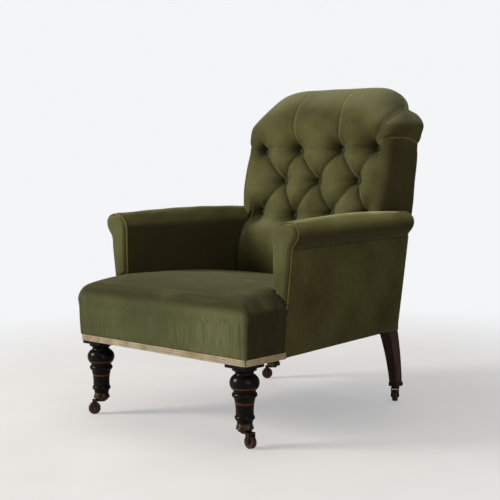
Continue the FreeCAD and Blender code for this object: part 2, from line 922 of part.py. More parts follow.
# Where the strips lie, as shares of the springs' spacing
lengthwise_web_shares = (-1.3, -0.43, 0.43, 1.3)
crosswise_web_shares = (-1.27, -0.44, 0.44, 1.33)
strips = []
for web_share in lengthwise_web_shares:
    x = size.spring_spacing_x * web_share
    strips.append(
        box(x - size.seat_web_width / 2, front_rail_back - size.rail_thickness / 2, seat_web_z,
            x + size.seat_web_width / 2, rear_rail_front + size.rail_thickness / 2,
            size.rail_bottom)
    )
for web_share in crosswise_web_shares:
    y = size.spring_spacing_y * web_share - size.spring_middle_y
    reach = rail_outer_at(y + size.seat_web_width / 2) - size.rail_thickness / 2
    strips.append(
        box(-reach, y - size.seat_web_width / 2, seat_web_z - size.webbing_thickness,
            reach, y + size.seat_web_width / 2, seat_web_z)
    )
feature("seat_webbing", Part.makeCompound(strips))


# Hourglass springs: wide at the base, narrow at the waist
spring_turns = 5
spring_low = size.rail_bottom + size.spring_wire_radius
spring_high = size.spring_top - size.spring_wire_radius


def spring_point(share):
    """A point of the wire, share 0 at the base and 1 at the top."""
    angle = 2 * math.pi * spring_turns * share
    if share < 0.5:
        radius = between(size.spring_base_radius, size.spring_waist_radius, share * 2)
    else:
        radius = between(size.spring_waist_radius, size.spring_top_radius, share * 2 - 1)
    height = between(spring_low, spring_high, share)
    return Vector(radius * math.cos(angle), radius * math.sin(angle), height)


def spring_shape():
    steps = spring_turns * 2
    nudge = 1e-4
    points = [spring_point(step / steps) for step in range(steps + 1)]
    tangents = []
    for step in range(steps + 1):
        low = max(step / steps - nudge, 0.0)
        high = min(step / steps + nudge, 1.0)
        tangents.append((spring_point(high) - spring_point(low)).normalize())
    path = Part.Wire(biarc_edges(points, tangents))
    ring = Part.Wire(Part.makeCircle(size.spring_wire_radius, points[0], tangents[0]))
    return path.makePipeShell([ring], True, False)


one_spring = spring_shape()
springs = []
for column in (-1, 0, 1):
    for rank in (-1, 0, 1):
        place = Vector(size.spring_spacing_x * column,
                       size.spring_spacing_y * rank - size.spring_middle_y, 0)
        springs.append(one_spring.translated(place))
feature("seat_springs", Part.makeCompound(springs))


def hessian_form(gap):
    """A low hipped form from the rails up over the springs."""
    low = rail_top - size.cutting_overrun if gap < 0 else rail_top
    foot_y = leg_front_y + size.rail_thickness / 2 - gap
    back_y = rear_rail_front + size.rail_thickness / 2 + gap
    foot_x = rail_end_x - size.rail_thickness / 2 + gap
    rear_x = post_outer - size.rail_thickness / 2 + gap
    top = size.spring_top + size.cover_gap + gap
    top_x = size.spring_spacing_x + size.spring_top_radius + size.hessian_margin + gap
    top_front = -size.spring_spacing_y - size.spring_middle_y - size.spring_base_radius
    top_back = size.spring_spacing_y - size.spring_middle_y + size.spring_base_radius
    foot = [
        Vector(-foot_x, foot_y, low), Vector(foot_x, foot_y, low),
        Vector(rear_x, back_y, low), Vector(-rear_x, back_y, low),
    ]
    crown = [
        Vector(-top_x, top_front - gap, top), Vector(top_x, top_front - gap, top),
        Vector(top_x, top_back + gap, top), Vector(-top_x, top_back + gap, top),
    ]
    wires = [Part.makePolygon([*points, points[0]]) for points in (foot, crown)]
    return Part.makeLoft(wires, True, True)


post_spaces = post_envelope(size.cover_gap, 1).fuse(post_envelope(size.cover_gap, -1))
hessian = hessian_form(size.cloth_thickness).cut(hessian_form(0)).cut(post_spaces)
feature("spring_hessian", hessian)

# Seat cover and stuffing. Levels as shares of the height from the rail's underside to the
# crown: then the front bulge, the ear's width, the width between the arms and the back line
# as shares, and how far a layer below also sinks there.
seat_level_shares = (
    (0.0, 0.0, 1.0, 1.0, 1.0, 0.0),
    (0.094, 0.0, 1.0, 1.0, 1.0, 0.0),
    (0.3, 0.47, 1.02, 1.0, 1.0, 0.0),
    (0.57, 1.0, 1.047, 1.0, 1.0, 0.0),
    (0.7, 1.0, 1.053, 1.0, 1.0, 0.3),
    (0.8, 0.25, 1.015, 1.0, 0.96, 0.6),
    (0.87, -1.1, 0.955, 0.975, 0.57, 0.8),
    (0.95, -3.6, 0.85, 0.84, 0.47, 1.0),
    (1.0, -5.5, 0.66, 0.65, 0.27, 1.0),
)
corner_bulge_share = 0.29
full_corner_share = 0.57
neck_y = -size.arm_front - size.facing_thickness - size.facing_crown - size.seat_ear_gap
low_neck_y = -size.arm_front - size.cover_gap * 2


def seat_section(level, inset, open_below):
    share, bulge, ear, neck, back, sink = level
    z = between(size.rail_bottom + size.cover_gap, size.seat_crown, share) - inset * sink
    if share == 0:
        z = z - open_below
    front_y = -size.seat_front - size.seat_front_bulge * bulge + inset
    ear_x = size.seat_ear_x * ear - inset
    back_y = size.seat_back_y * back - inset
    back_of_ear = low_neck_y if share <= full_corner_share else neck_y
    neck_x = (arm_inner_at(back_of_ear) - size.seat_arm_gap) * neck - inset
    rear_x = (arm_inner_at(back_y) - size.seat_arm_gap) * neck - inset
    ear_x = max(ear_x, neck_x + size.seat_arm_gap)
    corner = between(size.seat_foot_corner, size.seat_corner, min(share / full_corner_share, 1))
    right = [
        Vector(rear_x, back_y, z),
        Vector(neck_x, back_of_ear - inset, z),
        Vector(ear_x, back_of_ear - inset, z),
        Vector(ear_x, front_y + corner, z),
        Vector(ear_x - corner, front_y, z),
    ]
    left = [Vector(-point.x, point.y, z) for point in reversed(right)]
    edges = []
    for side, points in ((1, right), (-1, left)):
        turn_index = 3 if side > 0 else 0
        for index in range(4):
            start, end = points[index:index + 2]
            if index == turn_index:
                out = corner * corner_bulge_share * math.sqrt(0.5)
                middle = (start + end) * 0.5 + Vector(out * side, -out, 0)
                edges.append(Part.Arc(start, middle, end).toShape())
            else:
                edges.append(line(start, end))
        if side > 0:
            edges.append(line(right[4], left[0]))
    edges.append(line(left[4], right[0]))
    return Part.Wire(edges)


def seat_form(inset, open_below=0):
    return Part.makeLoft([seat_section(level, inset, open_below) for level in seat_level_shares],
                         True, True)


wide = size.front_leg_x * 2
rail_space_x = rail_end_x + size.cover_gap
# The side rails' outer faces behind the leg blocks, where the cover ends
corner_space = box(-rail_space_x, leg_back_y, size.rail_bottom - size.cutting_overrun * 2,
                   rail_space_x, size.seat_back_y, rail_top + size.cover_gap)
frame_space = box(-wide, low_neck_y, size.rail_bottom - size.cutting_overrun * 2,
                  wide, size.seat_back_y + size.cutting_overrun, rail_top + size.cover_gap)
rail_space = box(-rail_space_x, leg_front_y - size.cover_gap,
                 size.rail_bottom - size.cutting_overrun, rail_space_x,
                 size.seat_back_y + size.cutting_overrun, rail_top + size.cover_gap)
over_hessian = hessian_form(size.cloth_thickness + size.cover_gap)
seat_cover = seat_form(0).cut(seat_form(size.cover_thickness, size.cutting_overrun))
for space in (frame_space, corner_space, over_hessian):
    seat_cover = seat_cover.cut(space)
feature("seat_cover", seat_cover)

hem_space = box(-wide, -wide, size.rail_bottom - size.cutting_overrun, wide, wide,
                size.stuffing_bottom)
seat_stuffing = seat_form(size.cover_thickness + size.cover_gap)
for space in (rail_space, hem_space, frame_space, over_hessian):
    seat_stuffing = seat_stuffing.cut(space)
feature("seat_stuffing", seat_stuffing)

# Gimp: braid glued round the foot of the cover, front and both ears
gimp_x = size.seat_ear_x + size.gimp_thickness
gimp_y = -size.seat_front - size.gimp_thickness


def gimp_outline(x, y, corner):
    rise = corner * (1 - math.sqrt(0.5))
    return [(-x, y + corner, rise), (corner - x, y), (x - corner, y, rise), (x, y + corner)]


corner = size.seat_foot_corner
outline = [
    (-gimp_x, low_neck_y),
    *gimp_outline(gimp_x, gimp_y, corner + size.gimp_thickness),
    (gimp_x, low_neck_y),
    (size.seat_ear_x + size.cover_gap, low_neck_y),
]
inner = gimp_outline(size.seat_ear_x + size.cover_gap, -size.seat_front - size.cover_gap, corner)
outline += [
    (inner[3][0], inner[3][1], -inner[2][2]),
    (inner[2][0], inner[2][1]),
    (inner[1][0], inner[1][1], -inner[0][2]),
    (inner[0][0], inner[0][1]),
    (-size.seat_ear_x - size.cover_gap, low_neck_y),
]
gimp = padded_body("seat_gimp", "XY_Plane", outline, size.gimp_height)
move(gimp, z=size.rail_bottom)
keep(gimp, "seat_gimp")

# Dust cover under the webbing, cut round the legs
margin = size.dust_cover_margin
leg_clear = size.capital_side / 2 + size.dust_cover_leg_gap
dust_right = [
    (size.front_leg_x - leg_clear, leg_front_y + margin),
    (size.front_leg_x - leg_clear, leg_clear - size.front_leg_y),
    (rail_outer_at(leg_clear - size.front_leg_y) - margin, leg_clear - size.front_leg_y),
    (post_outer - margin, size.post_front - size.dust_cover_leg_gap),
    (post_inner - margin, size.post_front - size.dust_cover_leg_gap),
    (post_inner - margin, rear_rail_front + size.rail_thickness - margin),
]
outline = dust_right + [(-x, y) for x, y in reversed(dust_right)]
dust_cover = padded_body("dust_cover", "XY_Plane", outline, size.cloth_thickness)
move(dust_cover, z=seat_web_z - size.webbing_thickness - size.cloth_thickness)
keep(dust_cover, "dust_cover")

# Back webbing and hessian lie on the front of the raked back frame
back_lean = math.atan(back_rake_share + post_thinning_share)
back_place = Placement(Vector(0, size.post_front, rail_top),
                       Rotation(Vector(1, 0, 0), -math.degrees(back_lean)))


def along_back(z):
    """Distance up the raked frame to a height."""
    return (z - rail_top) / math.cos(back_lean)


low_edge = along_back(size.lower_rail_bottom + size.hessian_margin)
high_edge = along_back(crest_rail_top - size.hessian_margin)
web_reach = size.post_x
# Below the wings the webbing is tacked nearer to the posts' inner edges
low_web_share = 0.17
low_web_reach = post_inner + size.post_thickness * low_web_share
level_web_rows = (-0.5, 0.5, 1.5)
upright_web_pitches = (-1.25, -0.75, -0.25, 0.25, 0.75, 1.25)
row_heights = [size.button_row_low + size.button_row_rise * row for row in range(3)]
strips = []
for rows in level_web_rows:
    z = size.button_row_low + size.button_row_rise * rows
    middle = along_back(z)
    reach = web_reach if z > size.back_shelf else low_web_reach
    strips.append(box(-reach, -size.webbing_thickness, middle - size.back_web_width / 2,
                      reach, 0, middle + size.back_web_width / 2))
for pitches in upright_web_pitches:
    x = size.button_pitch * pitches
    strips.append(box(x - size.back_web_width / 2, -size.webbing_thickness * 2, low_edge,
                      x + size.back_web_width / 2, -size.webbing_thickness, high_edge))
feature("back_webbing", Part.makeCompound(strips), back_place)


def pit_y(row):
    crown = (size.crown_low_y, size.crown_mid_y, size.crown_high_y)[row]
    return crown + size.pit_depth


button_rim_share = 0.3

# Each button's place: at the bottom of its pit, square to the raked frame
four_in_row = (-1.5, -0.5, 0.5, 1.5)
three_in_row = (-1, 0, 1)
button_places = []
for row, columns in enumerate((four_in_row, three_in_row, four_in_row)):
    for column in columns:
        base = Vector(size.button_pitch * column, pit_y(row), row_heights[row])
        tilt = Rotation(Vector(1, 0, 0), 90 - math.degrees(back_lean))
        button_places.append(Placement(base, tilt))

# A button: a straight rim and a domed top
button_rim = size.button_height * button_rim_share
dome_rise = size.button_height - button_rim
dome_radius = (size.button_radius * size.button_radius + dome_rise * dome_rise) / (dome_rise * 2)
button = rod(Vector(0, 0, 0), Vector(0, 0, size.button_height), size.button_radius).common(
    Part.makeSphere(dome_radius, Vector(0, 0, size.button_height - dome_radius))
)
buttons = []
ties = []
sockets = []
tie_bores = []
for place in button_places:
    lean_y = post_front_at(place.Base.z) - place.Base.y
    depth = lean_y * math.cos(back_lean) - size.webbing_thickness * 2
    buttons.append(button.transformed(place.toMatrix(), True))
    tie = rod(Vector(0, 0, 0), Vector(0, 0, -depth), size.tie_radius)
    toggle = rod(Vector(0, 0, -depth), Vector(0, 0, -depth - size.toggle_height),
                 size.toggle_radius)
    ties.append(tie.fuse(toggle).transformed(place.toMatrix(), True))
    bore = rod(Vector(0, 0, size.cutting_overrun), Vector(0, 0, -depth),
               size.tie_radius + size.cover_gap)
    tie_bores.append(bore.transformed(place.toMatrix(), True))
    socket = rod(Vector(0, 0, 0), Vector(0, 0, size.pit_depth * 2),
                 size.button_radius + size.button_socket_gap)
    sockets.append(socket.transformed(place.toMatrix(), True))
feature("back_buttons", Part.makeCompound(buttons))
feature("button_ties", Part.makeCompound(ties))
tie_space = Part.makeCompound(tie_bores)
socket_space = Part.makeCompound(sockets)

support = size.webbing_thickness * 2 + size.cloth_thickness
wing_edge = along_back(size.back_shelf + size.hessian_margin)
back_hessian = box(-low_web_reach, -support, low_edge, low_web_reach,
                   -size.webbing_thickness * 2, high_edge)
back_hessian = back_hessian.fuse(box(-web_reach, -support, wing_edge, web_reach,
                                     -size.webbing_thickness * 2, high_edge))
back_hessian = back_hessian.transformed(back_place.toMatrix(), True).cut(tie_space)
feature("back_hessian", back_hessian)

# The buttoned back, in level sections. Between rows the pleats run straight from button to
# button. Above the top row the inner ones go up over the crest and the outer ones to the
# crest's corners; below the low row they run down to the seat.
row_low, row_mid, row_high = row_heights
crest_rise = size.back_top - row_high
# Height above the top row, half width, front line in the middle, where the sides start to
# round off, back line, half width behind, as shares
front_column, side_column = 2, 3
crest_shares = (
    (0.11, 1.025, 0.0, 0.025, None, 1.01),
    (0.22, 1.045, 0.004, 0.06, None, 1.03),
    (0.3, 1.04, 0.01, 0.1, None, 1.03),
    (0.39, 1.015, 0.018, 0.15, None, 1.01),
    (0.44, 0.99, 0.028, 0.18, 0.07, 0.97),
    (0.54, 0.93, 0.06, 0.24, 0.03, 0.9),
    (0.64, 0.86, 0.12, 0.31, 0.01, 0.835),
    (0.8, 0.79, 0.29, 0.46, 0.02, 0.775),
    (0.93, 0.69, 0.56, 0.69, 0.08, 0.69),
    (1.0, 0.53, 0.94, 0.97, 0.21, 0.52),
)
# Where the roll behind the crest rail starts
roll_start_share = crest_shares[4][0]
notch_share = 0.64
side_pleat_share = 0.985
wing_round_share = 0.22
level_wing_round_share = 0.09
pillow_round_share = 0.42
# How much the pleats above and below the rows get shallower towards their ends
pleat_fade_share = 0.6
outer_pleat_fade_share = 0.5
# Pleats that reach the cover's edge stop this many half widths short of it
edge_pleats = 3
# Levels below the low row as shares of the way up to it, and half widths above the shelf
low_level_shares = (0.35, 0.75)
shelf_width_share = 0.993
upper_width_share = 0.995
# The crest's levels from here up draw in fully by the top
crest_sink_start = 0.54
crest_sink_slope = 4


def crown_at(z, column=front_column):
    """The front line of the back's padding at a height, without the pleats."""
    heights = (size.back_bottom, row_low, row_mid, row_high)
    lines = (size.crown_seat_y, size.crown_low_y, size.crown_mid_y, size.crown_high_y)
    for index in range(3):
        if z <= heights[index + 1]:
            share = (z - heights[index]) / (heights[index + 1] - heights[index])
            return between(lines[index], lines[index + 1], share)
    previous = (0.0, 0.0)
    for shares in crest_shares:
        height_share, front_share = shares[0], shares[column]
        if z <= row_high + crest_rise * height_share + size.shelf_step / 2:
            low, low_front = previous
            share = ((z - row_high) / crest_rise - low) / (height_share - low)
            front = between(low_front, front_share, share)
            return size.crown_high_y + (size.crest_front_y - size.crown_high_y) * front
        previous = (height_share, front_share)
    return size.crest_front_y


def cleft(share):
    """Pleat depth between two buttons: deepest at each, shallow midway."""
    return size.pleat_depth + (size.pit_depth - size.pleat_depth) * (1 - 2 * share) ** 2


def pleat_points(z, half):
    """The four pleat lines of the right half at a height: distance out and depth."""
    pitch = size.button_pitch
    button = size.button_radius
    outer_row = [pitch / 2 - button, pitch / 2 + button, pitch * 1.5 - button,
                 pitch * 1.5 + button]
    middle_row = [button, pitch - button, pitch + button, pitch * 1.5 + button * 2]
    if row_low <= z <= row_high:
        from_middle = abs(z - row_mid) / size.button_row_rise
        depth = cleft(from_middle)
        edge = size.pit_depth * from_middle
        outs = [between(middle_row[i], outer_row[i], from_middle) for i in range(4)]
        return list(zip(outs, (depth, depth, depth, edge)))
    if z < row_low:
        run = row_low - z
        share = run / (row_low - size.back_bottom)
    else:
        run = z - row_high
        share = min(run / (crest_rise * notch_share), 1.0)
    outer = between(pitch * 1.5, half - size.pleat_half_width * edge_pleats, share)
    gather = max(1 - run / size.pleat_gather, 0.0)
    narrow = size.pleat_half_width + (button - size.pleat_half_width) * gather
    fade = 1 - pleat_fade_share * share
    depth = (size.pleat_depth + (size.pit_depth - size.pleat_depth) * gather ** 2) * fade
    outer_depth = depth * (1 - outer_pleat_fade_share * share)
    return [(pitch / 2 - narrow, depth), (pitch / 2 + narrow, depth),
            (outer - narrow, outer_depth), (outer + narrow, outer_depth)]


# Arcs that rise less than this share of the shelf's step are straight lines
flat_share = 0.05


def back_section(z, wide_share, back_y, inset, back_out, sink, rear_share=None):
    level = z + sink * inset
    shape_z = level if sink > 0 else z
    crown = crown_at(shape_z)
    side_y = crown_at(shape_z, side_column) + size.wing_round
    if wide_share is None:
        front_x = arm_inner_at(side_y) - size.seat_arm_gap
        rear_x = arm_inner_at(back_y) - size.seat_arm_gap
    else:
        front_x = size.wing_x * wide_share
        rear_x = size.wing_x * (rear_share or wide_share)
    pleats = pleat_points(shape_z, front_x)
    if not row_low <= z <= row_high:
        pleats[2:] = [(x - inset, depth) for x, depth in pleats[2:]]
    chain = [Vector(x, crown + depth + inset, level) for x, depth in pleats]
    corner = Vector(front_x - inset, side_y + inset, level)
    rear = Vector(rear_x - inset, back_y + back_out, level)
    right = [rear, corner, *reversed(chain)]
    left = [Vector(-point.x, point.y, level) for point in reversed(right)]
    edges = [line(rear, corner)]
    outline = [*right[1:], *left[:-1]]
    level_side = abs(z - row_high) < size.shelf_step
    for index, (start, end) in enumerate(zip(outline, outline[1:])):
        chord = (end - start).Length
        at_corner = index in (0, len(outline) - 2)
        if at_corner:
            round_share = level_wing_round_share if level_side else wing_round_share
            rise = 0 if wide_share is None else chord * round_share
            out = Vector(end.y - start.y, start.x - end.x, 0).normalize()
            if out.y > 0:
                out = -out
        else:
            deep = (start.y + end.y) / 2 - crown - inset
            rise = min(deep, max(chord - size.button_radius * 2, 0) * pillow_round_share)
            out = Vector(0, -1, 0)
        if rise < size.shelf_step * flat_share:
            edges.append(line(start, end))
        else:
            edges.append(Part.Arc(start, (start + end) * 0.5 + out * rise, end).toShape())
    edges.append(line(left[-2], left[-1]))
    edges.append(line(left[-1], rear))
    return Part.Wire(edges)


def back_form(inset, open_back, open_below):
    sections = []
    low_heights = [size.back_bottom - open_below]
    low_heights += [between(size.back_bottom, row_low, share) for share in low_level_shares]
    low_heights += [row_low, size.back_shelf - size.shelf_step / 2]
    for z in low_heights:
        sink = 1 if z > row_low else 0
        sections.append(back_section(z, None, post_back_at(z), inset, open_back, sink))
    wide_heights = [
        (size.back_shelf + size.shelf_step / 2, shelf_width_share, 1),
        (row_low + size.button_row_rise / 2, 1.0, 0),
        (row_mid, 1.0, 0),
        (row_mid + size.button_row_rise / 2, upper_width_share, 0),
        (row_high, side_pleat_share, 0),
    ]
    for z, share, sink in wide_heights:
        sections.append(back_section(z, share, post_back_at(z), inset, open_back, sink))
    for height_share, half_share, _, _, back_share, rear_share in crest_shares:
        z = row_high + crest_rise * height_share
        if back_share is None:
            section = back_section(z, half_share, post_back_at(z), inset, open_back, 0,
                                   rear_share)
        else:
            depth = size.crest_back_y - size.crown_high_y
            back_y = size.crest_back_y - depth * back_share
            sink = -min(max(height_share - crest_sink_start, 0) * crest_sink_slope, 1)
            section = back_section(z, half_share, back_y, inset, -inset, sink, rear_share)
        sections.append(section)
    return Part.makeLoft(sections, True, True)


def back_frame_space():
    """The back frame with its webbing and hessian, and all that lies behind it."""
    gap = size.cover_gap
    front = (support + gap) / math.cos(back_lean)
    low = size.back_bottom - size.cutting_overrun * 2
    far = size.crest_back_y + size.cutting_overrun
    top = crest_rail_top + gap
    post_end = size.post_top + gap
    roll_bottom = row_high + crest_rise * roll_start_share
    posts = [
        Vector(0, post_front_at(low) - front, low),
        Vector(0, far, low),
        Vector(0, far, crest_rail_bottom),
        Vector(0, post_back_at(roll_bottom) + gap, roll_bottom),
        Vector(0, post_back_at(post_end) + gap, post_end),
        Vector(0, post_front_at(post_end) - front, post_end),
    ]
    crest = [
        Vector(0, post_front_at(crest_rail_bottom) - front, crest_rail_bottom),
        Vector(0, post_back_at(crest_rail_bottom), crest_rail_bottom),
        Vector(0, post_back_at(top) + gap, top),
        Vector(0, post_front_at(top) - front, top),
    ]
    spaces = []
    for points, reach in ((posts, post_outer + gap), (crest, web_reach + gap)):
        space = prism(points, Vector(reach * 2, 0, 0)).translated(Vector(-reach, 0, 0))
        spaces.append(space)
    return spaces[0].fuse(spaces[1])


frame_behind = back_frame_space()
back_outer = back_form(0, 0, 0)
back_cover = back_outer.cut(
    back_form(size.cover_thickness, size.cover_overrun, size.cutting_overrun)
)
back_cover = back_cover.cut(frame_behind).cut(socket_space).cut(tie_space)
feature("back_cover", back_cover)
back_stuffing = back_form(size.cover_thickness + size.cover_gap * 2, -size.cover_gap,
                          -size.cover_gap)
back_stuffing = back_stuffing.cut(frame_behind).cut(socket_space).cut(tie_space)
back_stuffing = max(back_stuffing.cut(back_cover).Solids, key=lambda solid: solid.Volume)
feature("back_stuffing", back_stuffing)

# Outside back: velvet on hessian, a flat panel on the posts' back edges
panel_top = crest_rail_bottom - size.cover_gap


def outside_back_outline(low):
    skin = size.outside_back_thickness + size.cover_gap
    gap = size.cover_gap
    points = [(post_back_at(panel_top) + skin, panel_top), (post_back_at(panel_top) + gap,
                                                            panel_top)]
    if low < rail_top:
        points += [(post_back + gap, rail_top), (post_back + gap, low), (post_back + skin, low),
                   (post_back + skin, rail_top)]
    else:
        points += [(post_back_at(low) + gap, low), (post_back_at(low) + skin, low)]
    return points


outside_back = new_body("outside_back")
wing_low = size.back_shelf + size.shelf_step
add_pad(
    outside_back,
    add_sketch(outside_back, "outside_back_panel", "YZ_Plane",
               outside_back_outline(size.rail_bottom)),
    (post_outer + size.outside_arm_inset) * 2,
    centred=True,
)
add_pad(
    outside_back,
    add_sketch(outside_back, "outside_back_wings", "YZ_Plane", outside_back_outline(wing_low)),
    (size.wing_x * side_pleat_share - size.cover_gap) * 2,
    centred=True,
)
keep(outside_back, "outside_back")


# Castors: a cup on the leg's end, a horn that swivels on its riveted stem, an axle and a
# wheel that rolls on it
def square_cup():
    half_x = (size.post_thickness - size.foot_taper) / 2 + size.cup_leg_gap
    half_y = (size.foot_back - size.foot_front) / 2 + size.cup_leg_gap
    wall = size.square_cup_wall
    outer = box(-half_x - wall, -half_y - wall, size.cup_bottom, half_x + wall, half_y + wall,
                size.cup_bottom + size.square_cup_height)
    hollow = box(-half_x, -half_y, size.leg_end, half_x, half_y,
                 size.cup_bottom + size.square_cup_height + size.cutting_overrun)
    bore = rod(Vector(0, 0, size.cup_bottom - size.cutting_overrun),
               Vector(0, 0, size.leg_end + size.cutting_overrun),
               size.stem_radius + size.running_gap)
    return outer.cut(hollow).cut(bore), half_x + wall


def cup_screws(reach):
    screws = []
    height = size.leg_end + size.cup_screw_rise
    for side in (-1, 1):
        head_out = Vector((reach + size.cup_screw_head_height) * side, 0, height)
        seat = Vector(reach * side, 0, height)
        tip = Vector((reach - size.cup_screw_length) * side, 0, height)
        screws.append(rod(head_out, seat, size.cup_screw_head_radius).fuse(
            rod(seat, tip, size.cup_screw_radius)))
    return screws


def horn_shape():
    half = size.wheel_width / 2 + size.cheek_gap
    outer = half + size.cheek_thickness
    top = size.horn_bottom + size.horn_thickness
    axle_z = size.wheel_radius
    end = size.castor_trail + size.cheek_end_radius
    crown = rod(Vector(0, 0, size.horn_bottom), Vector(0, 0, top), size.horn_radius)
    horn = crown.fuse(box(0, -outer, size.horn_bottom, end, outer, top))
    for side in (-1, 1):
        near = half * side
        far = outer * side
        cheek = box(size.castor_trail - size.cheek_end_radius, min(near, far), axle_z,
                    end, max(near, far), size.horn_bottom)
        boss = rod(Vector(size.castor_trail, near, axle_z),
                   Vector(size.castor_trail, far, axle_z), size.cheek_end_radius)
        horn = horn.fuse(cheek).fuse(boss)
    seat = size.leg_end + size.rivet_gap
    horn = horn.fuse(rod(Vector(0, 0, size.horn_bottom), Vector(0, 0, seat), size.stem_radius))
    horn = horn.fuse(rod(Vector(0, 0, seat), Vector(0, 0, seat + size.rivet_height),
                         size.rivet_radius))
    axle_reach = outer + size.cutting_overrun
    bore = rod(Vector(size.castor_trail, -axle_reach, axle_z),
               Vector(size.castor_trail, axle_reach, axle_z), size.axle_radius)
    return horn.cut(bore)


def axle_shape():
    outer = size.wheel_width / 2 + size.cheek_gap + size.cheek_thickness
    head = outer + size.cup_screw_head_height
    middle = Vector(size.castor_trail, 0, size.wheel_radius)
    axle = rod(middle - Vector(0, outer, 0), middle + Vector(0, outer, 0), size.axle_radius)
    for side in (-1, 1):
        axle = axle.fuse(rod(middle + Vector(0, outer * side, 0),
                             middle + Vector(0, head * side, 0),
                             size.axle_radius + size.cup_screw_head_height))
    return axle


wheel_half = size.wheel_width / 2
edge = size.wheel_edge
wheel_profile = [
    (size.axle_radius + size.running_gap, -wheel_half),
    (size.wheel_radius - edge, -wheel_half, edge * corner_bulge_share),
    (size.wheel_radius, edge - wheel_half),
    (size.wheel_radius, wheel_half - edge, edge * corner_bulge_share),
    (size.wheel_radius - edge, wheel_half),
    (size.axle_radius + size.running_gap, wheel_half),
]
cup_shares = ((1.0, 0.3), (1.0, 0.42), (0.84, 1.0))
round_cup_profile = [
    (size.stem_radius + size.running_gap, size.cup_bottom),
    (size.cup_leg_radius + size.cup_fit, size.cup_bottom, -size.cup_fit * 4),
    *[(size.cup_flange_radius * radius, size.cup_bottom + size.cup_height * rise)
      for radius, rise in cup_shares],
    (size.cup_leg_radius, cup_top),
    (size.cup_leg_radius, size.leg_end),
    (size.stem_radius + size.running_gap, size.leg_end),
]
cup_flutes = 16
flute_radius_share = 0.42
flute_overrun_share = 0.3


def cup_flute_space():
    """Shallow grooves down the skirt of a round cup, clear of its two screws."""
    (low_share, low_rise), (high_share, high_rise) = cup_shares[1:]
    grooves = []
    for index in range(cup_flutes):
        around = Rotation(Vector(0, 0, 1), 360 / cup_flutes * (index + 0.5))
        radius = size.cup_flute_depth / flute_radius_share
        out = radius - size.cup_flute_depth
        low = Vector(size.cup_flange_radius * low_share + out, 0,
                     size.cup_bottom + size.cup_height * low_rise)
        high = Vector(size.cup_flange_radius * high_share + out, 0,
                      size.cup_bottom + size.cup_height * high_rise)
        reach = (high - low) * flute_overrun_share
        grooves.append(rod(around.multVec(low - reach), around.multVec(high + reach), radius))
    return grooves


cup_screw_shapes = []
for corner_name, angle in CASTOR_ANGLES.items():
    end, side_name = corner_name.split("_")
    side = SIDES[side_name]
    if end == "front":
        axis_x, axis_y = size.front_leg_x * side, -size.front_leg_y
    else:
        axis_x, axis_y = foot_x * side, foot_y
    axis = Vector(axis_x, axis_y, 0)
    if end == "front":
        cup = new_body("castor_cup_" + corner_name + "_turning")
        turn(cup, add_sketch(cup, cup.Name + "_profile", "XZ_Plane", round_cup_profile))
        move(cup, x=axis_x, y=axis_y)
        reach = size.cup_flange_radius
        holes = cup_screw_holes(size.cup_flange_radius, size.cup_screw_radius)
        holes = holes.fuse(cup_flute_space())
        cut("castor_cup_" + corner_name, cup,
            feature("castor_cup_" + corner_name + "_holes", holes, Placement(axis, Rotation()),
                    kept=False))
    else:
        shape, reach = square_cup()
        shape = shape.cut(cup_screw_holes(reach, size.cup_screw_radius))
        feature("castor_cup_" + corner_name, shape, Placement(axis, Rotation()))
    cup_screw_shapes += [screw.translated(axis) for screw in cup_screws(reach)]
    swivel = Rotation(Vector(0, 0, 1), angle)
    feature("castor_horn_" + corner_name, horn_shape(), Placement(axis, swivel))
    feature("castor_axle_" + corner_name, axle_shape(), Placement(axis, swivel))
    wheel = new_body("castor_wheel_" + corner_name)
    turn(wheel, add_sketch(wheel, wheel.Name + "_profile", "XZ_Plane", wheel_profile))
    trail = swivel.multVec(Vector(1, 0, 0))
    wheel.Placement = Placement(Vector(0, 0, 0), swivel * Rotation(Vector(1, 0, 0), 90))
    move(wheel, x=axis_x + size.castor_trail * trail.x, y=axis_y + size.castor_trail * trail.y,
         z=size.wheel_radius)
    keep(wheel, "castor_wheel_" + corner_name)
feature("castor_screws", Part.makeCompound(cup_screw_shapes))

doc.recompute()
for obj in doc.Objects:
    if "Invalid" in obj.State or "Error" in obj.State:
        raise RuntimeError(f"{obj.Label} failed to build")
faulty = [obj.Label for obj in parts if obj.Shape.isNull() or not obj.Shape.isValid()]
if faulty:
    raise RuntimeError("No valid shape: " + ", ".join(faulty))

os.makedirs("parts", exist_ok=True)
for obj in parts:
    obj.Shape.exportStep(f"parts/{obj.Label}.step")
print(len(parts), "pieces written")
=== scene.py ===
import math

import bpy
import numpy as np
from mathutils import Matrix, Vector


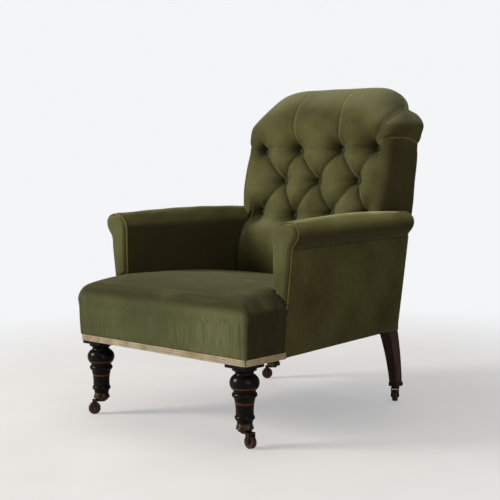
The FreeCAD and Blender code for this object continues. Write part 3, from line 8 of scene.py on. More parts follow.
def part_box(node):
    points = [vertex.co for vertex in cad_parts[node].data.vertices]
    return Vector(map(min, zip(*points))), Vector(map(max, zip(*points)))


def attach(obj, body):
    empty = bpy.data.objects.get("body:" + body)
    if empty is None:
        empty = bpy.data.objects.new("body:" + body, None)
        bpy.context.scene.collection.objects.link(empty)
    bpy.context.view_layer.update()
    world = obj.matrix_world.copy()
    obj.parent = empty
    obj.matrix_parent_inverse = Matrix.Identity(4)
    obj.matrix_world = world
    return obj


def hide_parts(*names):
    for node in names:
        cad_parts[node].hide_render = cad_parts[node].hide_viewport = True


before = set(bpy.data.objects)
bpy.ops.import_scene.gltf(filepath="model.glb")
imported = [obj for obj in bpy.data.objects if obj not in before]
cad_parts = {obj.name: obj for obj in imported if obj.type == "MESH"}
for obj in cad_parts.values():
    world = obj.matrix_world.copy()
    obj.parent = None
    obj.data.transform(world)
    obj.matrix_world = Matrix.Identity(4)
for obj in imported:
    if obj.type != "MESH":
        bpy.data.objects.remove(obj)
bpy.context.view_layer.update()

# Beech frame
# Seat rails, corner blocks, arm rails and back rails of pale beech, planed and left bare
# under the upholstery. The joints are glued and the blocks are screwed.
BEECH_PIECES = [
    "front_seat_rail", "rear_seat_rail", "side_seat_rail_left", "side_seat_rail_right",
    "corner_blocks", "crest_rail", "lower_back_rail", "arm_post_left", "arm_post_right",
    "arm_rail_left", "arm_rail_right", "lower_arm_rail_left", "lower_arm_rail_right",
]


def new_material(name):
    """An empty material: its node tree, its shader and a texture place in chair metres."""
    material = bpy.data.materials.new(name)
    material.use_nodes = True
    tree = material.node_tree
    shader = tree.nodes["Principled BSDF"]
    place = tree.nodes.new("ShaderNodeTexCoord")
    return material, tree, shader, place.outputs["Object"]


def fill(tree, socket, value):
    """Gives a socket a link, a colour or a number."""
    if isinstance(value, bpy.types.NodeSocket):
        tree.links.new(value, socket)
    else:
        socket.default_value = (*value, 1) if socket.type == "RGBA" else value


def new_node(tree, kind, values=(), **settings):
    """A node with its settings and with what its sockets are given."""
    node = tree.nodes.new(kind)
    for name, setting in settings.items():
        setattr(node, name, setting)
    for name, value in dict(values).items():
        fill(tree, node.inputs[name], value)
    return node


def grain(tree, place, stretch, scale, detail):
    """Noise stretched along the chair's axes, for grain, pile and mottling."""
    mapping = new_node(tree, "ShaderNodeMapping", {"Vector": place, "Scale": stretch})
    noise = new_node(tree, "ShaderNodeTexNoise", {"Vector": mapping.outputs["Vector"],
                                                  "Scale": scale, "Detail": detail})
    return noise.outputs["Fac"]


def colour_between(tree, amount, low, high, start=0.35, end=0.65):
    """A ramp from one colour to another over the middle of a noise."""
    ramp = new_node(tree, "ShaderNodeValToRGB", {"Fac": amount})
    for element, position, colour in zip(ramp.color_ramp.elements, (start, end), (low, high)):
        element.position = position
        element.color = (*colour, 1)
    return ramp.outputs["Color"]


def tinted(tree, first, second, amount, blend="MIX"):
    """Lays one colour over another by an amount, a socket or a number."""
    mix = new_node(tree, "ShaderNodeMix", data_type="RGBA", blend_type=blend)
    for number, value in ((6, first), (7, second), (0, amount)):
        fill(tree, mix.inputs[number], value)
    return mix.outputs[2]


def surfaced(tree, shader, colour, levels, relief, height):
    """Finishes a shader with its colour, its levels and a fine relief of a height in metres."""
    bump = new_node(tree, "ShaderNodeBump", {"Height": relief, "Distance": height})
    for name, value in {"Base Color": colour, "Normal": bump.outputs["Normal"], **levels}.items():
        fill(tree, shader.inputs[name], value)


def bare_wood(name, low, high, stretch, roughness):
    material, tree, shader, place = new_material(name)
    lines = grain(tree, place, stretch, 14, 6)
    surfaced(tree, shader, colour_between(tree, lines, low, high), {"Roughness": roughness},
             lines, 0.0002)
    return material


def finish_node(node, material):
    """Gives a piece of the frame its real finish."""
    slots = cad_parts[node].data.materials
    for index in range(len(slots)):
        slots[index] = material


beech = bare_wood("bare_beech", (0.50, 0.34, 0.20), (0.66, 0.49, 0.32), (1, 6, 6), 0.6)
for node in BEECH_PIECES:
    finish_node(node, beech)

# Front legs
# Turned from birch and ebonised: a square capital, a neck, a ball, rings and a taper into
# the castor cup. Rubbed through to brown wood on the rings and worn dull on the taper.
ebony = (0.005, 0.0042, 0.0042)
worn_ebony = (0.018, 0.011, 0.009)
rubbed_wood = (0.32, 0.10, 0.035)
leg_rings_z = (0.1095, 0.1470)
SIDES = (("left", -1), ("right", 1))
ring_rub_height = 0.0035


def worked_out(tree, operation, *values):
    """The outcome of a sum with sockets or numbers."""
    return new_node(tree, "ShaderNodeMath", dict(enumerate(values)), operation=operation).outputs[0]


def within(tree, value, low, high, top=1.0):
    """How far a value is from one number to another, from 0 to a top."""
    return new_node(tree, "ShaderNodeMapRange", {"Value": value, "From Min": low, "From Max": high,
                                                 "To Max": top})


def ebonised():
    material, tree, shader, place = new_material("ebonised_birch")
    wear_and_highlight = grain(tree, place, (1, 1, 3), 60, 4)
    body = colour_between(tree, wear_and_highlight, ebony, worn_ebony, 0.4, 0.75)
    split = new_node(tree, "ShaderNodeSeparateXYZ", {"Vector": place})
    patches = grain(tree, place, (1, 1, 1), 45, 2)
    for ring_z in leg_rings_z:
        away = worked_out(tree, "ABSOLUTE",
                          worked_out(tree, "SUBTRACT", split.outputs["Z"], ring_z))
        rub = within(tree, away, ring_rub_height, 0).outputs["Result"]
        body = tinted(tree, body, rubbed_wood, worked_out(tree, "MULTIPLY", rub, patches))
    levels = {"Roughness": 0.26, "Specular IOR Level": 0.10, "Coat Weight": 0.07,
              "Coat Roughness": 0.12}
    surfaced(tree, shader, body, levels, wear_and_highlight, 0.0002)
    return material


ebonised_birch = ebonised()
for side_name, side in SIDES:
    finish_node("front_leg_" + side_name, ebonised_birch)

# Rear legs
# Each sawn from one plank with its back post, swept backwards and stained nearly black
# with a reddish streak in the grain, then polished.
dark_polish = bare_wood("dark_polished_leg", (0.016, 0.007, 0.005), (0.070, 0.024, 0.014),
                        (7, 7, 1), 0.32)
for side_name, side in SIDES:
    finish_node("rear_leg_" + side_name, dark_polish)

# Castors
# Cast cups on the legs, horns riveted in them to swivel, steel axles and small turned
# wheels of a hard brown wood. The brass has gone dark and is bright only where it rubs.
CASTORS = ("front_left", "front_right", "rear_left", "rear_right")


def aged_metal(name, low, high, roughness):
    material, tree, shader, place = new_material(name)
    tarnish = grain(tree, place, (1, 1, 1), 130, 5)
    surfaced(tree, shader, colour_between(tree, tarnish, low, high),
             {"Metallic": 1.0, "Roughness": roughness}, tarnish, 0.0003)
    return material


dark_brass = aged_metal("tarnished_brass", (0.026, 0.020, 0.015), (0.110, 0.078, 0.045), 0.42)
axle_steel = aged_metal("axle_steel", (0.05, 0.045, 0.04), (0.16, 0.14, 0.12), 0.35)
screw_steel = aged_metal("screw_steel", (0.20, 0.20, 0.20), (0.36, 0.36, 0.36), 0.35)
wheel_wood = bare_wood("hard_wheel_wood", (0.030, 0.012, 0.009), (0.080, 0.032, 0.024),
                       (3, 3, 3), 0.28)
for castor in CASTORS:
    for part, material in (("cup", dark_brass), ("horn", dark_brass), ("axle", axle_steel),
                           ("wheel", wheel_wood)):
        finish_node(f"castor_{part}_{castor}", material)
finish_node("castor_screws", axle_steel)
finish_node("corner_block_screws", screw_steel)
finish_node("seat_springs", screw_steel)

# Webbing, hessian and ties
# Jute webbing strained over the rails, hessian over the springs and on the back frame,
# and the waxed twine that pulls the buttons in.
def waves(tree, place, direction, scale, distortion):
    """Even bands across an axis or the diagonal, for threads and cords."""
    wave = new_node(tree, "ShaderNodeTexWave", {"Vector": place, "Scale": scale,
                                                "Distortion": distortion},
                    bands_direction=direction)
    return wave.outputs["Fac"]


def woven(name, low, high, threads):
    """Cloth with threads that cross."""
    material, tree, shader, place = new_material(name)
    weave = waves(tree, place, "X", threads, 1.5)
    for axis in ("Y", "Z"):
        weave = worked_out(tree, "MULTIPLY_ADD", waves(tree, place, axis, threads, 1.5), 0.5, weave)
    surfaced(tree, shader, colour_between(tree, weave, low, high, 0.3, 1.4), {"Roughness": 0.9},
             weave, 0.0004)
    return material


jute = woven("jute", (0.24, 0.15, 0.07), (0.52, 0.37, 0.20), 170)
for node in ("seat_webbing", "spring_hessian", "back_webbing", "back_hessian", "button_ties"):
    finish_node(node, jute)

# Seat
# Hair and wadding over the springs, covered in olive cotton velvet that is tacked under
# the rails. The cover is crowned, with a soft front edge and a seam down each front corner.
sage_sheen = (0.72, 0.74, 0.38)
pile_lines = 420


def velvet(name, low, high, streak, sheen):
    """Cotton velvet: soft mottling, fine upright pile lines and a sheen."""
    material, tree, shader, place = new_material(name)
    mottle = grain(tree, place, (1, 1, 1), 7, 4)
    colour = colour_between(tree, mottle, low, high, 0.30, 0.62)
    lines = grain(tree, place, (pile_lines, pile_lines, 9), 1.0, 2)
    pale = colour_between(tree, lines, (0.72, 0.72, 0.72), (1.30, 1.32, 1.22), 0.35, 0.68)
    colour = tinted(tree, colour, pale, streak, "MULTIPLY")
    levels = {"Roughness": 0.88, "Specular IOR Level": 0.15, "Sheen Weight": sheen,
              "Sheen Roughness": 0.27, "Sheen Tint": sage_sheen}
    nap = grain(tree, place, (1, 1, 0.4), 900, 2)
    surfaced(tree, shader, colour, levels, nap, 0.0003)
    return material


def rounded(points, cut):
    """Rounds the corners of a plan outline, each given with its own radius."""
    path = []
    count = len(points)
    for index, (x, y, radius) in enumerate(points):
        before = Vector(points[index - 1][:2])
        after = Vector(points[(index + 1) % count][:2])
        here = Vector((x, y))
        if not radius:
            path.append(here)
            continue
        back = (before - here).normalized() * radius
        ahead = (after - here).normalized() * radius
        for step in range(cut + 1):
            share = step / cut
            path.append(here + back * (1 - share) ** 2 + ahead * share ** 2)
    return path


def run_along(points):
    """How far each point lies along a plane line."""
    return np.concatenate(([0], np.cumsum(np.hypot(*np.diff(points, axis=0).T))))


def places_at(points, run, at):
    """The places on a plane line at these distances along it."""
    return np.column_stack([np.interp(at, run, column) for column in np.transpose(points)])


def spaced(path, step, corner):
    """Points along a closed outline, closer together round its front corners."""
    closed = np.array([*path, path[0]], float)
    run = run_along(closed)
    fine = places_at(closed, run, np.linspace(0, run[-1], 4000))
    away = np.hypot(np.abs(fine[:, 0]) - corner[0], fine[:, 1] - corner[1])
    weight = 1 + 4 * np.exp(-(away / 0.026) ** 4)
    mass = np.concatenate(([0], np.cumsum((weight[1:] + weight[:-1]) / 2)))
    return places_at(fine, mass, np.linspace(0, mass[-1], int(run[-1] / step), endpoint=False))


def in_scene(name, data):
    """A new object in the scene, from its mesh, lamp or camera."""
    thing = bpy.data.objects.new(name, data)
    bpy.context.scene.collection.objects.link(thing)
    return thing


def skin(name, rings, material, flat_end=False):
    """A mesh from rings of points, each ring as long as the first, with its ends filled."""
    rings = np.asarray(rings, float)
    count, length = rings.shape[:2]
    here = np.arange(count * length).reshape(count, length)
    ahead = np.roll(here, -1, axis=1)
    faces = np.stack([here[:-1], ahead[:-1], ahead[1:], here[1:]], axis=2).reshape(-1, 4).tolist()
    low_end = count * length
    ends = [rings[0].mean(0)]
    if flat_end:
        faces.append(here[-1].tolist())
    else:
        ends.append(rings[-1].mean(0))
    for first, second, last, next_last in zip(here[0], ahead[0], here[-1], ahead[-1]):
        faces.append((int(second), int(first), low_end))
        if not flat_end:
            faces.append((int(last), int(next_last), low_end + 1))
    mesh = bpy.data.meshes.new(name)
    mesh.from_pydata(np.vstack([rings.reshape(-1, 3), ends]).tolist(), [], faces)
    mesh.validate()
    mesh.polygons.foreach_set("use_smooth", [True] * len(mesh.polygons))
    mesh.materials.append(material)
    piece = in_scene(name, mesh)
    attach(piece, "chair")
    return piece


def eased(low, high, at):
    """A smooth step from 0 to 1."""
    share = np.clip((at - low) / (high - low), 0, 1)
    return share * share * (3 - 2 * share)


def unit(vectors):
    """Vectors along the last axis, each made one long."""
    return vectors / (np.linalg.norm(vectors, axis=-1, keepdims=True) + 1e-12)


arm_front_y = -0.258
arm_inner_front = 0.272
arm_run = 0.560
arm_inner_slope = -0.050 / arm_run
seat_low, seat_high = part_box("seat_cover")
rail_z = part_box("front_seat_rail")[0].z
seat_widest_z = 0.322
side_rim, front_rim = 0.012, 0.022
seat_centre = np.array((0, -0.275))
corner_cut = 0.015
# Height of the cover's sides, and how far they come in there from the widest line
SIDE_LINE = ((0.207, 0.0094), (0.2215, 0.0088), (0.225, 0.0056), (0.262, 0.0036),
             (0.3, 0.0028), (0.312, 0.001), (0.322, 0.0))
seam_from_corner = 0.020


def arm_inner_at(y):
    """Half the width between the arms, which run inwards to the back."""
    return arm_inner_front + arm_inner_slope * (y - arm_front_y)


ears_half_width = 0.317
between_half_width, between_taper, between_from_y = 0.290, 0.105, -0.230
ears_end_y, between_start_y = -0.275, -0.20


def seat_half_width(y):
    """Half the crown's width: broad at the ears, then narrowing between the arms."""
    between = between_half_width - between_taper * (y - between_from_y)
    step = eased(ears_end_y, between_start_y, y)
    return ears_half_width + (between - ears_half_width) * step


seat_crown_z = 0.3838
side_fall, front_fall, back_fall = 0.0454, 0.0227, 0.0268


def seat_top(x, y):
    """Height of the crowned top, as fitted to the photograph: it falls away on all sides."""
    side = side_fall * np.clip((np.abs(x) / seat_half_width(y) - 0.6119) / 0.3881, 0, None) ** 3.9066
    front = front_fall * np.clip((-y / 0.412 - 0.4181) / 0.5819, 0, None) ** 2.74
    back = back_fall * np.clip((y + 0.2348) / 0.3748, 0, 1.3) ** 1.9209
    return seat_crown_z - np.sqrt(side ** 2 + front ** 2 + back ** 2)


ear_x = seat_high.x - 0.0005
front_y = seat_low.y + 0.0005
neck_y = arm_front_y - 0.0010


def seat_outline():
    """The widest line round the seat: ears in front of the arms, then between the arms."""
    back_y = seat_high.y
    right = [
        (0.150, front_y - 0.0005, 0), (ear_x, front_y, corner_cut), (ear_x, neck_y, 0.004),
        (arm_inner_at(neck_y), neck_y, 0), (arm_inner_at(back_y) - 0.001, back_y, 0.02),
    ]
    left = [(-x, y, radius) for x, y, radius in reversed(right)]
    return spaced(rounded(right + left, 10), 0.0052, (ear_x, front_y))


outline = seat_outline()
ahead = np.roll(outline, -1, axis=0) - np.roll(outline, 1, axis=0)
inward = unit(np.column_stack([-ahead[:, 1], ahead[:, 0]]))
# The front and the ears come in towards the rail and are rolled over at their edge; what is
# against the arms and the back stays upright
facing_front = np.clip(eased(-0.15, 0.6, inward[:, 1]), 0, 1)
outside = (outline[:, 1] < neck_y + 0.0005) * 1.0
rolled = np.where(outside > 0, side_rim + (front_rim - side_rim) * facing_front, 0.0026)
# A seam down the front beside each corner, where the side panel is joined on
seam = np.exp(-((np.abs(outline[:, 0]) - (ear_x - seam_from_corner)) / 0.0018) ** 2) * (
    outline[:, 1] < front_y + 0.004)
seat_rings = []
seat_foot_z = rail_z + 0.001
heights, draws = np.array(SIDE_LINE).T
for z in np.linspace(seat_foot_z, seat_widest_z, 34):
    draw = float(np.interp(z, heights, draws))
    place = outline + inward * (draw * outside + 0.0016 * seam)[:, None]
    place[:, 0] = np.clip(place[:, 0], draw - ear_x, ear_x - draw)
    place[:, 1] = np.where(outside > 0, np.minimum(place[:, 1], neck_y), place[:, 1])
    seat_rings.append(np.column_stack([place, np.full(len(place), z)]))
edge_z = seat_top(*outline.T) - rolled
for seam_depth, z in ((0.0011, (edge_z + seat_widest_z) / 2), (0.0004, edge_z)):
    seat_rings.append(np.column_stack([outline + inward * (seam_depth * seam)[:, None], z]))
for turn_share in np.linspace(0.1, 1.0, 10):
    angle = turn_share * math.pi / 2
    place = outline + inward * (rolled * (1 - math.cos(angle)) * 0.9)[:, None]
    z = seat_top(*place.T) - rolled * (1 - math.sin(angle))
    seat_rings.append(np.column_stack([place, z]))
rim = seat_rings[-1][:, :2]
for share in np.linspace(0.98, 0.02, 48):
    place = seat_centre + (rim - seat_centre) * share
    seat_rings.append(np.column_stack([place, seat_top(*place.T)]))


def paint_light_and_shade(material, name, colour):
    """Where a piece's value of that name is high, its colour gives way to this one, for painted
    light and shade.
    """
    tree = material.node_tree
    shader = tree.nodes["Principled BSDF"]
    share = new_node(tree, "ShaderNodeAttribute", attribute_name=name).outputs["Fac"]
    below = shader.inputs["Base Color"].links[0].from_socket
    tree.links.new(tinted(tree, below, colour, share), shader.inputs["Base Color"])


def seat_cover_velvet():
    """Upright pile lines on the front, lighter towards its right end as a painted highlight; a
    darker brown top with crosswise strokes and worn patches, its darkness painted shade; painted
    shade low on the sides.
    """
    material = velvet("seat_velvet", (0.074, 0.078, 0.032), (0.100, 0.107, 0.045), 0.50, 0.35)
    tree = material.node_tree
    place = tree.nodes.new("ShaderNodeTexCoord").outputs["Object"]
    strokes = grain(tree, place, (3, 60, 20), 1.6, 4)
    # The top's darker brown is painted shade; the paler patches laid over it are wear
    brown = colour_between(tree, strokes, (0.038, 0.034, 0.012), (0.060, 0.055, 0.020), 0.30, 0.70)
    wear_and_highlight = within(tree, grain(tree, place, (2.2, 5, 2), 2.4, 5), 0.55, 0.72, 0.45)
    brown = tinted(tree, brown, (0.150, 0.136, 0.066), wear_and_highlight.outputs["Result"])
    # Painted shade for the lower sides
    dark = colour_between(tree, strokes, (0.020, 0.015, 0.006), (0.034, 0.027, 0.011), 0.3, 0.7)
    # A painted highlight for the front, lighter towards its right end
    upright = grain(tree, place, (pile_lines, pile_lines, 9), 1.0, 2)
    brightened = colour_between(tree, upright, (0.130, 0.142, 0.058), (0.235, 0.245, 0.108), 0.35, 0.68)
    paint_light_and_shade(material, "brightened", brightened)
    paint_light_and_shade(material, "side_shade", dark)
    paint_light_and_shade(material, "top_shade_and_wear", brown)
    return material


def share_of(piece, name, values):
    """Keeps a value at each point of a piece, for its material; its end points get none."""
    layer = piece.data.attributes.new(name, "FLOAT", "POINT")
    layer.data.foreach_set("value", np.pad(values.ravel(), (0, len(layer.data) - values.size)))


seat = skin("seat", seat_rings, seat_cover_velvet())
x, _, z = np.moveaxis(np.array(seat_rings), 2, 0)
to_the_right = np.exp(-((x - 0.215) / 0.10) ** 2)
# Painted shade: the top darker and browner
share_of(seat, "top_shade_and_wear", eased(0.326, 0.350, z))
# Painted highlight: the front lighter towards its right end
share_of(seat, "brightened", to_the_right * facing_front * 0.62)
# Painted shade low on the sides
share_of(seat, "side_shade", (1 - facing_front) * outside * (1 - eased(0.330, 0.352, z)) * 0.95)
seat.data.attributes["top_shade_and_wear"].data[-1].value = 1.0
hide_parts("seat_cover", "seat_stuffing")

# Seat gimp
# A cream cotton braid glued round the foot of the seat cover: three cords held by a
# diagonal binding. It runs from ear to ear and hides the tacks.
gimp_low, gimp_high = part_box("seat_gimp")
gimp_cords = 3


def swept(name, path, upward, section, material):
    """A strip that follows a path, its section given as distances out and up."""
    out = unit(np.cross(np.gradient(path, axis=0), upward))
    across, up = np.array(section).T[:, :, None]
    rings = path[:, None] + out[:, None] * across + np.array(upward) * up
    return skin(name, rings, material)


def braid():
    material, tree, shader, place = new_material("cream_gimp")
    soil = grain(tree, place, (1, 1, 1), 25, 4)
    cotton = colour_between(tree, soil, (0.40, 0.31, 0.18), (0.62, 0.54, 0.38))
    threads = waves(tree, place, "DIAGONAL", 160, 0.6)
    shade = colour_between(tree, threads, (0.70, 0.66, 0.60), (1.15, 1.12, 1.05), 0, 1)
    surfaced(tree, shader, tinted(tree, cotton, shade, 0.8, "MULTIPLY"),
             {"Roughness": 0.85, "Sheen Weight": 0.2}, threads, 0.0006)
    return material


def gimp_section():
    """Cords one above the other, rounded on the outside, flat behind."""
    height = gimp_high.z - gimp_low.z
    cord = height / gimp_cords
    points = []
    for index in range(gimp_cords):
        for step in range(7):
            angle = math.pi * step / 6
            points.append((0.0011 + 0.0017 * math.sin(angle) ** 0.8,
                           cord * (index + 0.5 - 0.5 * math.cos(angle))))
    points.append((0.0002, height))
    points.append((0.0002, 0))
    return points


gimp_draw = draws[1] - 0.0003
gimp_x, gimp_y = ear_x - gimp_draw, front_y + gimp_draw
gimp_bends = np.array(rounded([(gimp_x, neck_y, 0), (gimp_x, gimp_y, corner_cut),
                               (-gimp_x, gimp_y, corner_cut), (-gimp_x, neck_y, 0)], 12))
run = run_along(gimp_bends)
gimp_line = places_at(gimp_bends, run, np.linspace(0, run[-1], 420))
gimp_line = np.column_stack([gimp_line, np.full(len(gimp_line), gimp_low.z)])
gimp = swept("gimp", gimp_line[::-1], (0, 0, 1), gimp_section(), braid())
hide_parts("seat_gimp")

# Back
# Deep-buttoned: hair between the hessian and the velvet, pulled in by eleven buttons on
# twine. Folded pleats join the buttons, run over the crest, out to its corners and down to
# the seat. The top rolls over the crest rail to the rear.
# Each button's place across and its height, as the hand-pulled rows really lie
TOP_ROW = ((-0.208, 0.717), (-0.0715, 0.72), (0.084, 0.721), (0.21, 0.725))
MIDDLE_ROW = ((-0.121, 0.633), (0.009, 0.635), (0.153, 0.637))
BOTTOM_ROW = ((-0.195, 0.534), (-0.064, 0.53), (0.072, 0.538), (0.199, 0.541))
button_depth = 0.040
wing_z = 0.551
# Height, front line, half width, back line, half width behind, then how far the front
# corner rounds off across and back: between the arms, then from the wings up
BETWEEN_ARMS = (
    (0.352, 0.138, 0.237, 0.31, 0.22, 0.016, 0.02),
    (0.385, 0.134, 0.237, 0.315, 0.2195, 0.018, 0.022),
    (0.41, 0.134, 0.237, 0.319, 0.2195, 0.018, 0.022),
    (0.45, 0.141, 0.236, 0.325, 0.219, 0.018, 0.022),
    (0.49, 0.158, 0.234, 0.331, 0.218, 0.016, 0.02),
    (0.52, 0.18, 0.232, 0.335, 0.2175, 0.016, 0.02),
    (0.551, 0.19, 0.23, 0.34, 0.217, 0.016, 0.02),
)
ABOVE_ARMS = (
    (0.551, 0.19, 0.27, 0.345, 0.27, 0.044, 0.036),
    (0.583, 0.197, 0.276, 0.35, 0.273, 0.044, 0.036),
    (0.629, 0.207, 0.278, 0.357, 0.274, 0.044, 0.036),
    (0.674, 0.215, 0.277, 0.364, 0.274, 0.046, 0.038),
    (0.72, 0.221, 0.274, 0.371, 0.273, 0.054, 0.044),
    (0.7592, 0.2215, 0.285, 0.378, 0.28, 0.082, 0.07),
    (0.7894, 0.223, 0.287, 0.388, 0.28, 0.105, 0.092),
    (0.8161, 0.229, 0.266, 0.403, 0.252, 0.12, 0.105),
    (0.838, 0.239, 0.244, 0.409, 0.221, 0.12, 0.105),
    (0.8624, 0.259, 0.224, 0.409, 0.203, 0.12, 0.098),
    (0.8855, 0.293, 0.194, 0.398, 0.18, 0.11, 0.07),
    (0.8965, 0.329, 0.156, 0.38, 0.145, 0.08, 0.03),
    (0.899, 0.35, 0.118, 0.368, 0.112, 0.06, 0.012),
)


def along_front(stations, start=0.0):
    """Stations as columns, and how far each lies along the middle of the front."""
    columns = np.array(stations).T
    return columns, start + run_along(columns[:2].T)


def smooth_line(columns, run, at):
    """A smooth line through the stations, for places along the front."""
    slopes = np.gradient(columns, run, axis=1)
    index = min(max(int(np.searchsorted(run, at)) - 1, 0), len(run) - 2)
    span = run[index + 1] - run[index]
    share = (at - run[index]) / span
    rise = columns[:, index + 1] - columns[:, index]
    return (columns[:, index] + rise * share * share * (3 - 2 * share)
            + slopes[:, index] * span * share * (1 - share) ** 2
            - slopes[:, index + 1] * span * share * share * (1 - share))


low_columns, low_run = along_front(BETWEEN_ARMS)
wing_columns, wing_run = along_front(ABOVE_ARMS, low_run[-1])


def on_cover(row):
    """Buttons as places across and along the front."""
    heights_up = [*low_columns[0], *wing_columns[0]]
    return [(x, float(np.interp(z, heights_up, [*low_run, *wing_run]))) for x, z in row]


top_buttons, middle_buttons, bottom_buttons = [
    on_cover(row) for row in (TOP_ROW, MIDDLE_ROW, BOTTOM_ROW)]
all_buttons = (*bottom_buttons, *middle_buttons, *top_buttons)


def back_ring(section, columns, side_columns):
    """One level of the back, from the middle of its front round the right side."""
    z, front_y, front_x, rear_y, rear_x, corner_x, corner_y = section
    power = 2 / 2.3
    right = [((front_x - corner_x) * share, front_y) for share in np.linspace(0, 1, columns)]
    for angle in np.linspace(0, math.pi / 2, side_columns)[1:]:
        right.append((front_x - corner_x + corner_x * math.sin(angle) ** power,
                      front_y + corner_y - corner_y * math.cos(angle) ** power))
    rear_corner = min(0.018, (rear_y - front_y) * 0.3)
    end_y = rear_y - rear_corner
    start_y = front_y + corner_y
    for share in np.linspace(0, 1, side_columns)[1:]:
        right.append((front_x + (rear_x - front_x) * share, start_y + (end_y - start_y) * share))
    for angle in np.linspace(0, math.pi / 2, 7)[1:]:
        right.append((rear_x - rear_corner + rear_corner * math.cos(angle),
                      end_y + rear_corner * math.sin(angle)))
    for share in np.linspace(1, 0, 14)[1:]:
        right.append(((rear_x - rear_corner) * share, rear_y))
    left = [(-x, y) for x, y in reversed(right[1:-1])]
    return np.array([(x, y, z) for x, y in right + left])


roll_middle_z, roll_rise, roll_reach = 0.500, 0.046, 0.047
roll_fullness = 0.008


def arm_top(x, y):
    """Height of the top of an arm's roll, for the wings to lie on."""
    run = np.clip((y - arm_front_y) / arm_run, 0, 1)
    over = np.clip((np.abs(x) - arm_inner_at(y)) / roll_reach, 0, 1)
    full = roll_rise + roll_fullness * np.sin(math.pi * run)
    return roll_middle_z + full * np.sqrt(1 - (1 - over) ** 2)


ring_step = 0.0024
front_columns, side_columns = 92, 22
back_foot_z = BETWEEN_ARMS[0][0]
low_places = np.linspace(0, low_run[-1], int(low_run[-1] / ring_step), endpoint=False)
wing_places = np.linspace(wing_run[0], wing_run[-1], int((wing_run[-1] - wing_run[0]) / ring_step))
base = []
for at in low_places:
    section = smooth_line(low_columns, low_run, at)
    ring = back_ring(section, front_columns, side_columns)
    limit = arm_inner_at(ring[:, 1]) - 0.0012
    ring[:, 0] = np.clip(ring[:, 0], -limit, limit)
    # The foot rests on the seat
    rise = seat_top(ring[:, 0], ring[:, 1]) + 0.0008 - back_foot_z
    ring[:, 2] += rise * max(1 - (section[0] - back_foot_z) / 0.05, 0)
    base.append(ring)
for at in wing_places:
    section = smooth_line(wing_columns, wing_run, at)
    ring = back_ring(section, front_columns, side_columns)
    # The wings tuck down round the tops of the arms
    lift = section[0] - wing_z
    ring[:, 0] *= 1 - 0.010 * max(1 - lift / 0.008, 0) ** 2
    over_arm = eased(0.228, 0.236, np.abs(ring[:, 0]))
    drop = wing_z - arm_top(ring[:, 0], ring[:, 1]) - 0.0006
    drop += 0.020 * eased(0.296, 0.312, ring[:, 1])
    ring[:, 2] -= drop * over_arm * max(1 - lift / 0.05, 0)
    base.append(ring)
base, runs = np.array(base), np.concatenate([low_places, wing_places])


def pleat_between(first, last, steps):
    """A pleat from button to button, shallower midway: places across and up, and its depth."""
    first, last = np.array(first), np.array(last)
    return [(*(first + (last - first) * share), depth) for share, depth in steps]


# Share of the way and depth. Pleats that run down to the right are folded over, and those
# down to the left are soft valleys, and along the top and bottom rows there are faint creases
FOLDED = ((0, 0.038), (0.1, 0.0335), (0.26, 0.0275), (0.5, 0.024), (0.74, 0.0275),
          (0.9, 0.0335), (1, 0.038))
VALLEY = ((0, 0.038), (0.1, 0.03), (0.26, 0.021), (0.5, 0.0165), (0.74, 0.021),
          (0.9, 0.03), (1, 0.038))
ROW_CREASE = ((0, 0.036), (0.1, 0.014), (0.24, 0.0045), (0.5, 0.0008), (0.76, 0.0045),
              (0.9, 0.014), (1, 0.036))
folded_pleats, soft_pleats = [], []
for column, middle in enumerate(middle_buttons):
    folded_pleats.append(pleat_between(top_buttons[column], middle, FOLDED))
    folded_pleats.append(pleat_between(middle, bottom_buttons[column + 1], FOLDED))
    soft_pleats.append(pleat_between(top_buttons[column + 1], middle, VALLEY))
    soft_pleats.append(pleat_between(middle, bottom_buttons[column], VALLEY))
for row in (top_buttons, bottom_buttons):
    for first, last in zip(row, row[1:]):
        soft_pleats.append(pleat_between(first, last, ROW_CREASE))
# Pleats up over the crest and down to the seat: steps out from the middle, steps along, depth
CREST_PLEAT = ((0, 0, 0.038), (0.001, 0.014, 0.021), (0.003, 0.035, 0.011), (0.007, 0.07, 0.006),
               (0.007, 0.12, 0.0042), (0.003, 0.19, 0.0035), (0, 0.26, 0.002))
FOOT_PLEAT = ((0, 0, 0.038), (0, -0.015, 0.024), (0, -0.045, 0.011), (0, -0.10, 0.005),
              (0, -0.17, 0.003))
OUTER_FOOT_PLEAT = ((0, 0, 0.038), (0.006, -0.018, 0.026), (0.018, -0.045, 0.016),
                    (0.027, -0.08, 0.009), (0.032, -0.14, 0.005))
upright_pleats = []
for button, steps in ((top_buttons[1], CREST_PLEAT), (top_buttons[2], CREST_PLEAT),
                      (bottom_buttons[1], FOOT_PLEAT), (bottom_buttons[2], FOOT_PLEAT),
                      (bottom_buttons[0], OUTER_FOOT_PLEAT), (bottom_buttons[3], OUTER_FOOT_PLEAT)):
    way_out = math.copysign(1, button[0])
    upright_pleats.append([(button[0] + way_out * out, button[1] + along, depth)
                           for out, along, depth in steps])
outer_button, high_run_up = 0.2090, top_buttons[3][1] - 0.003
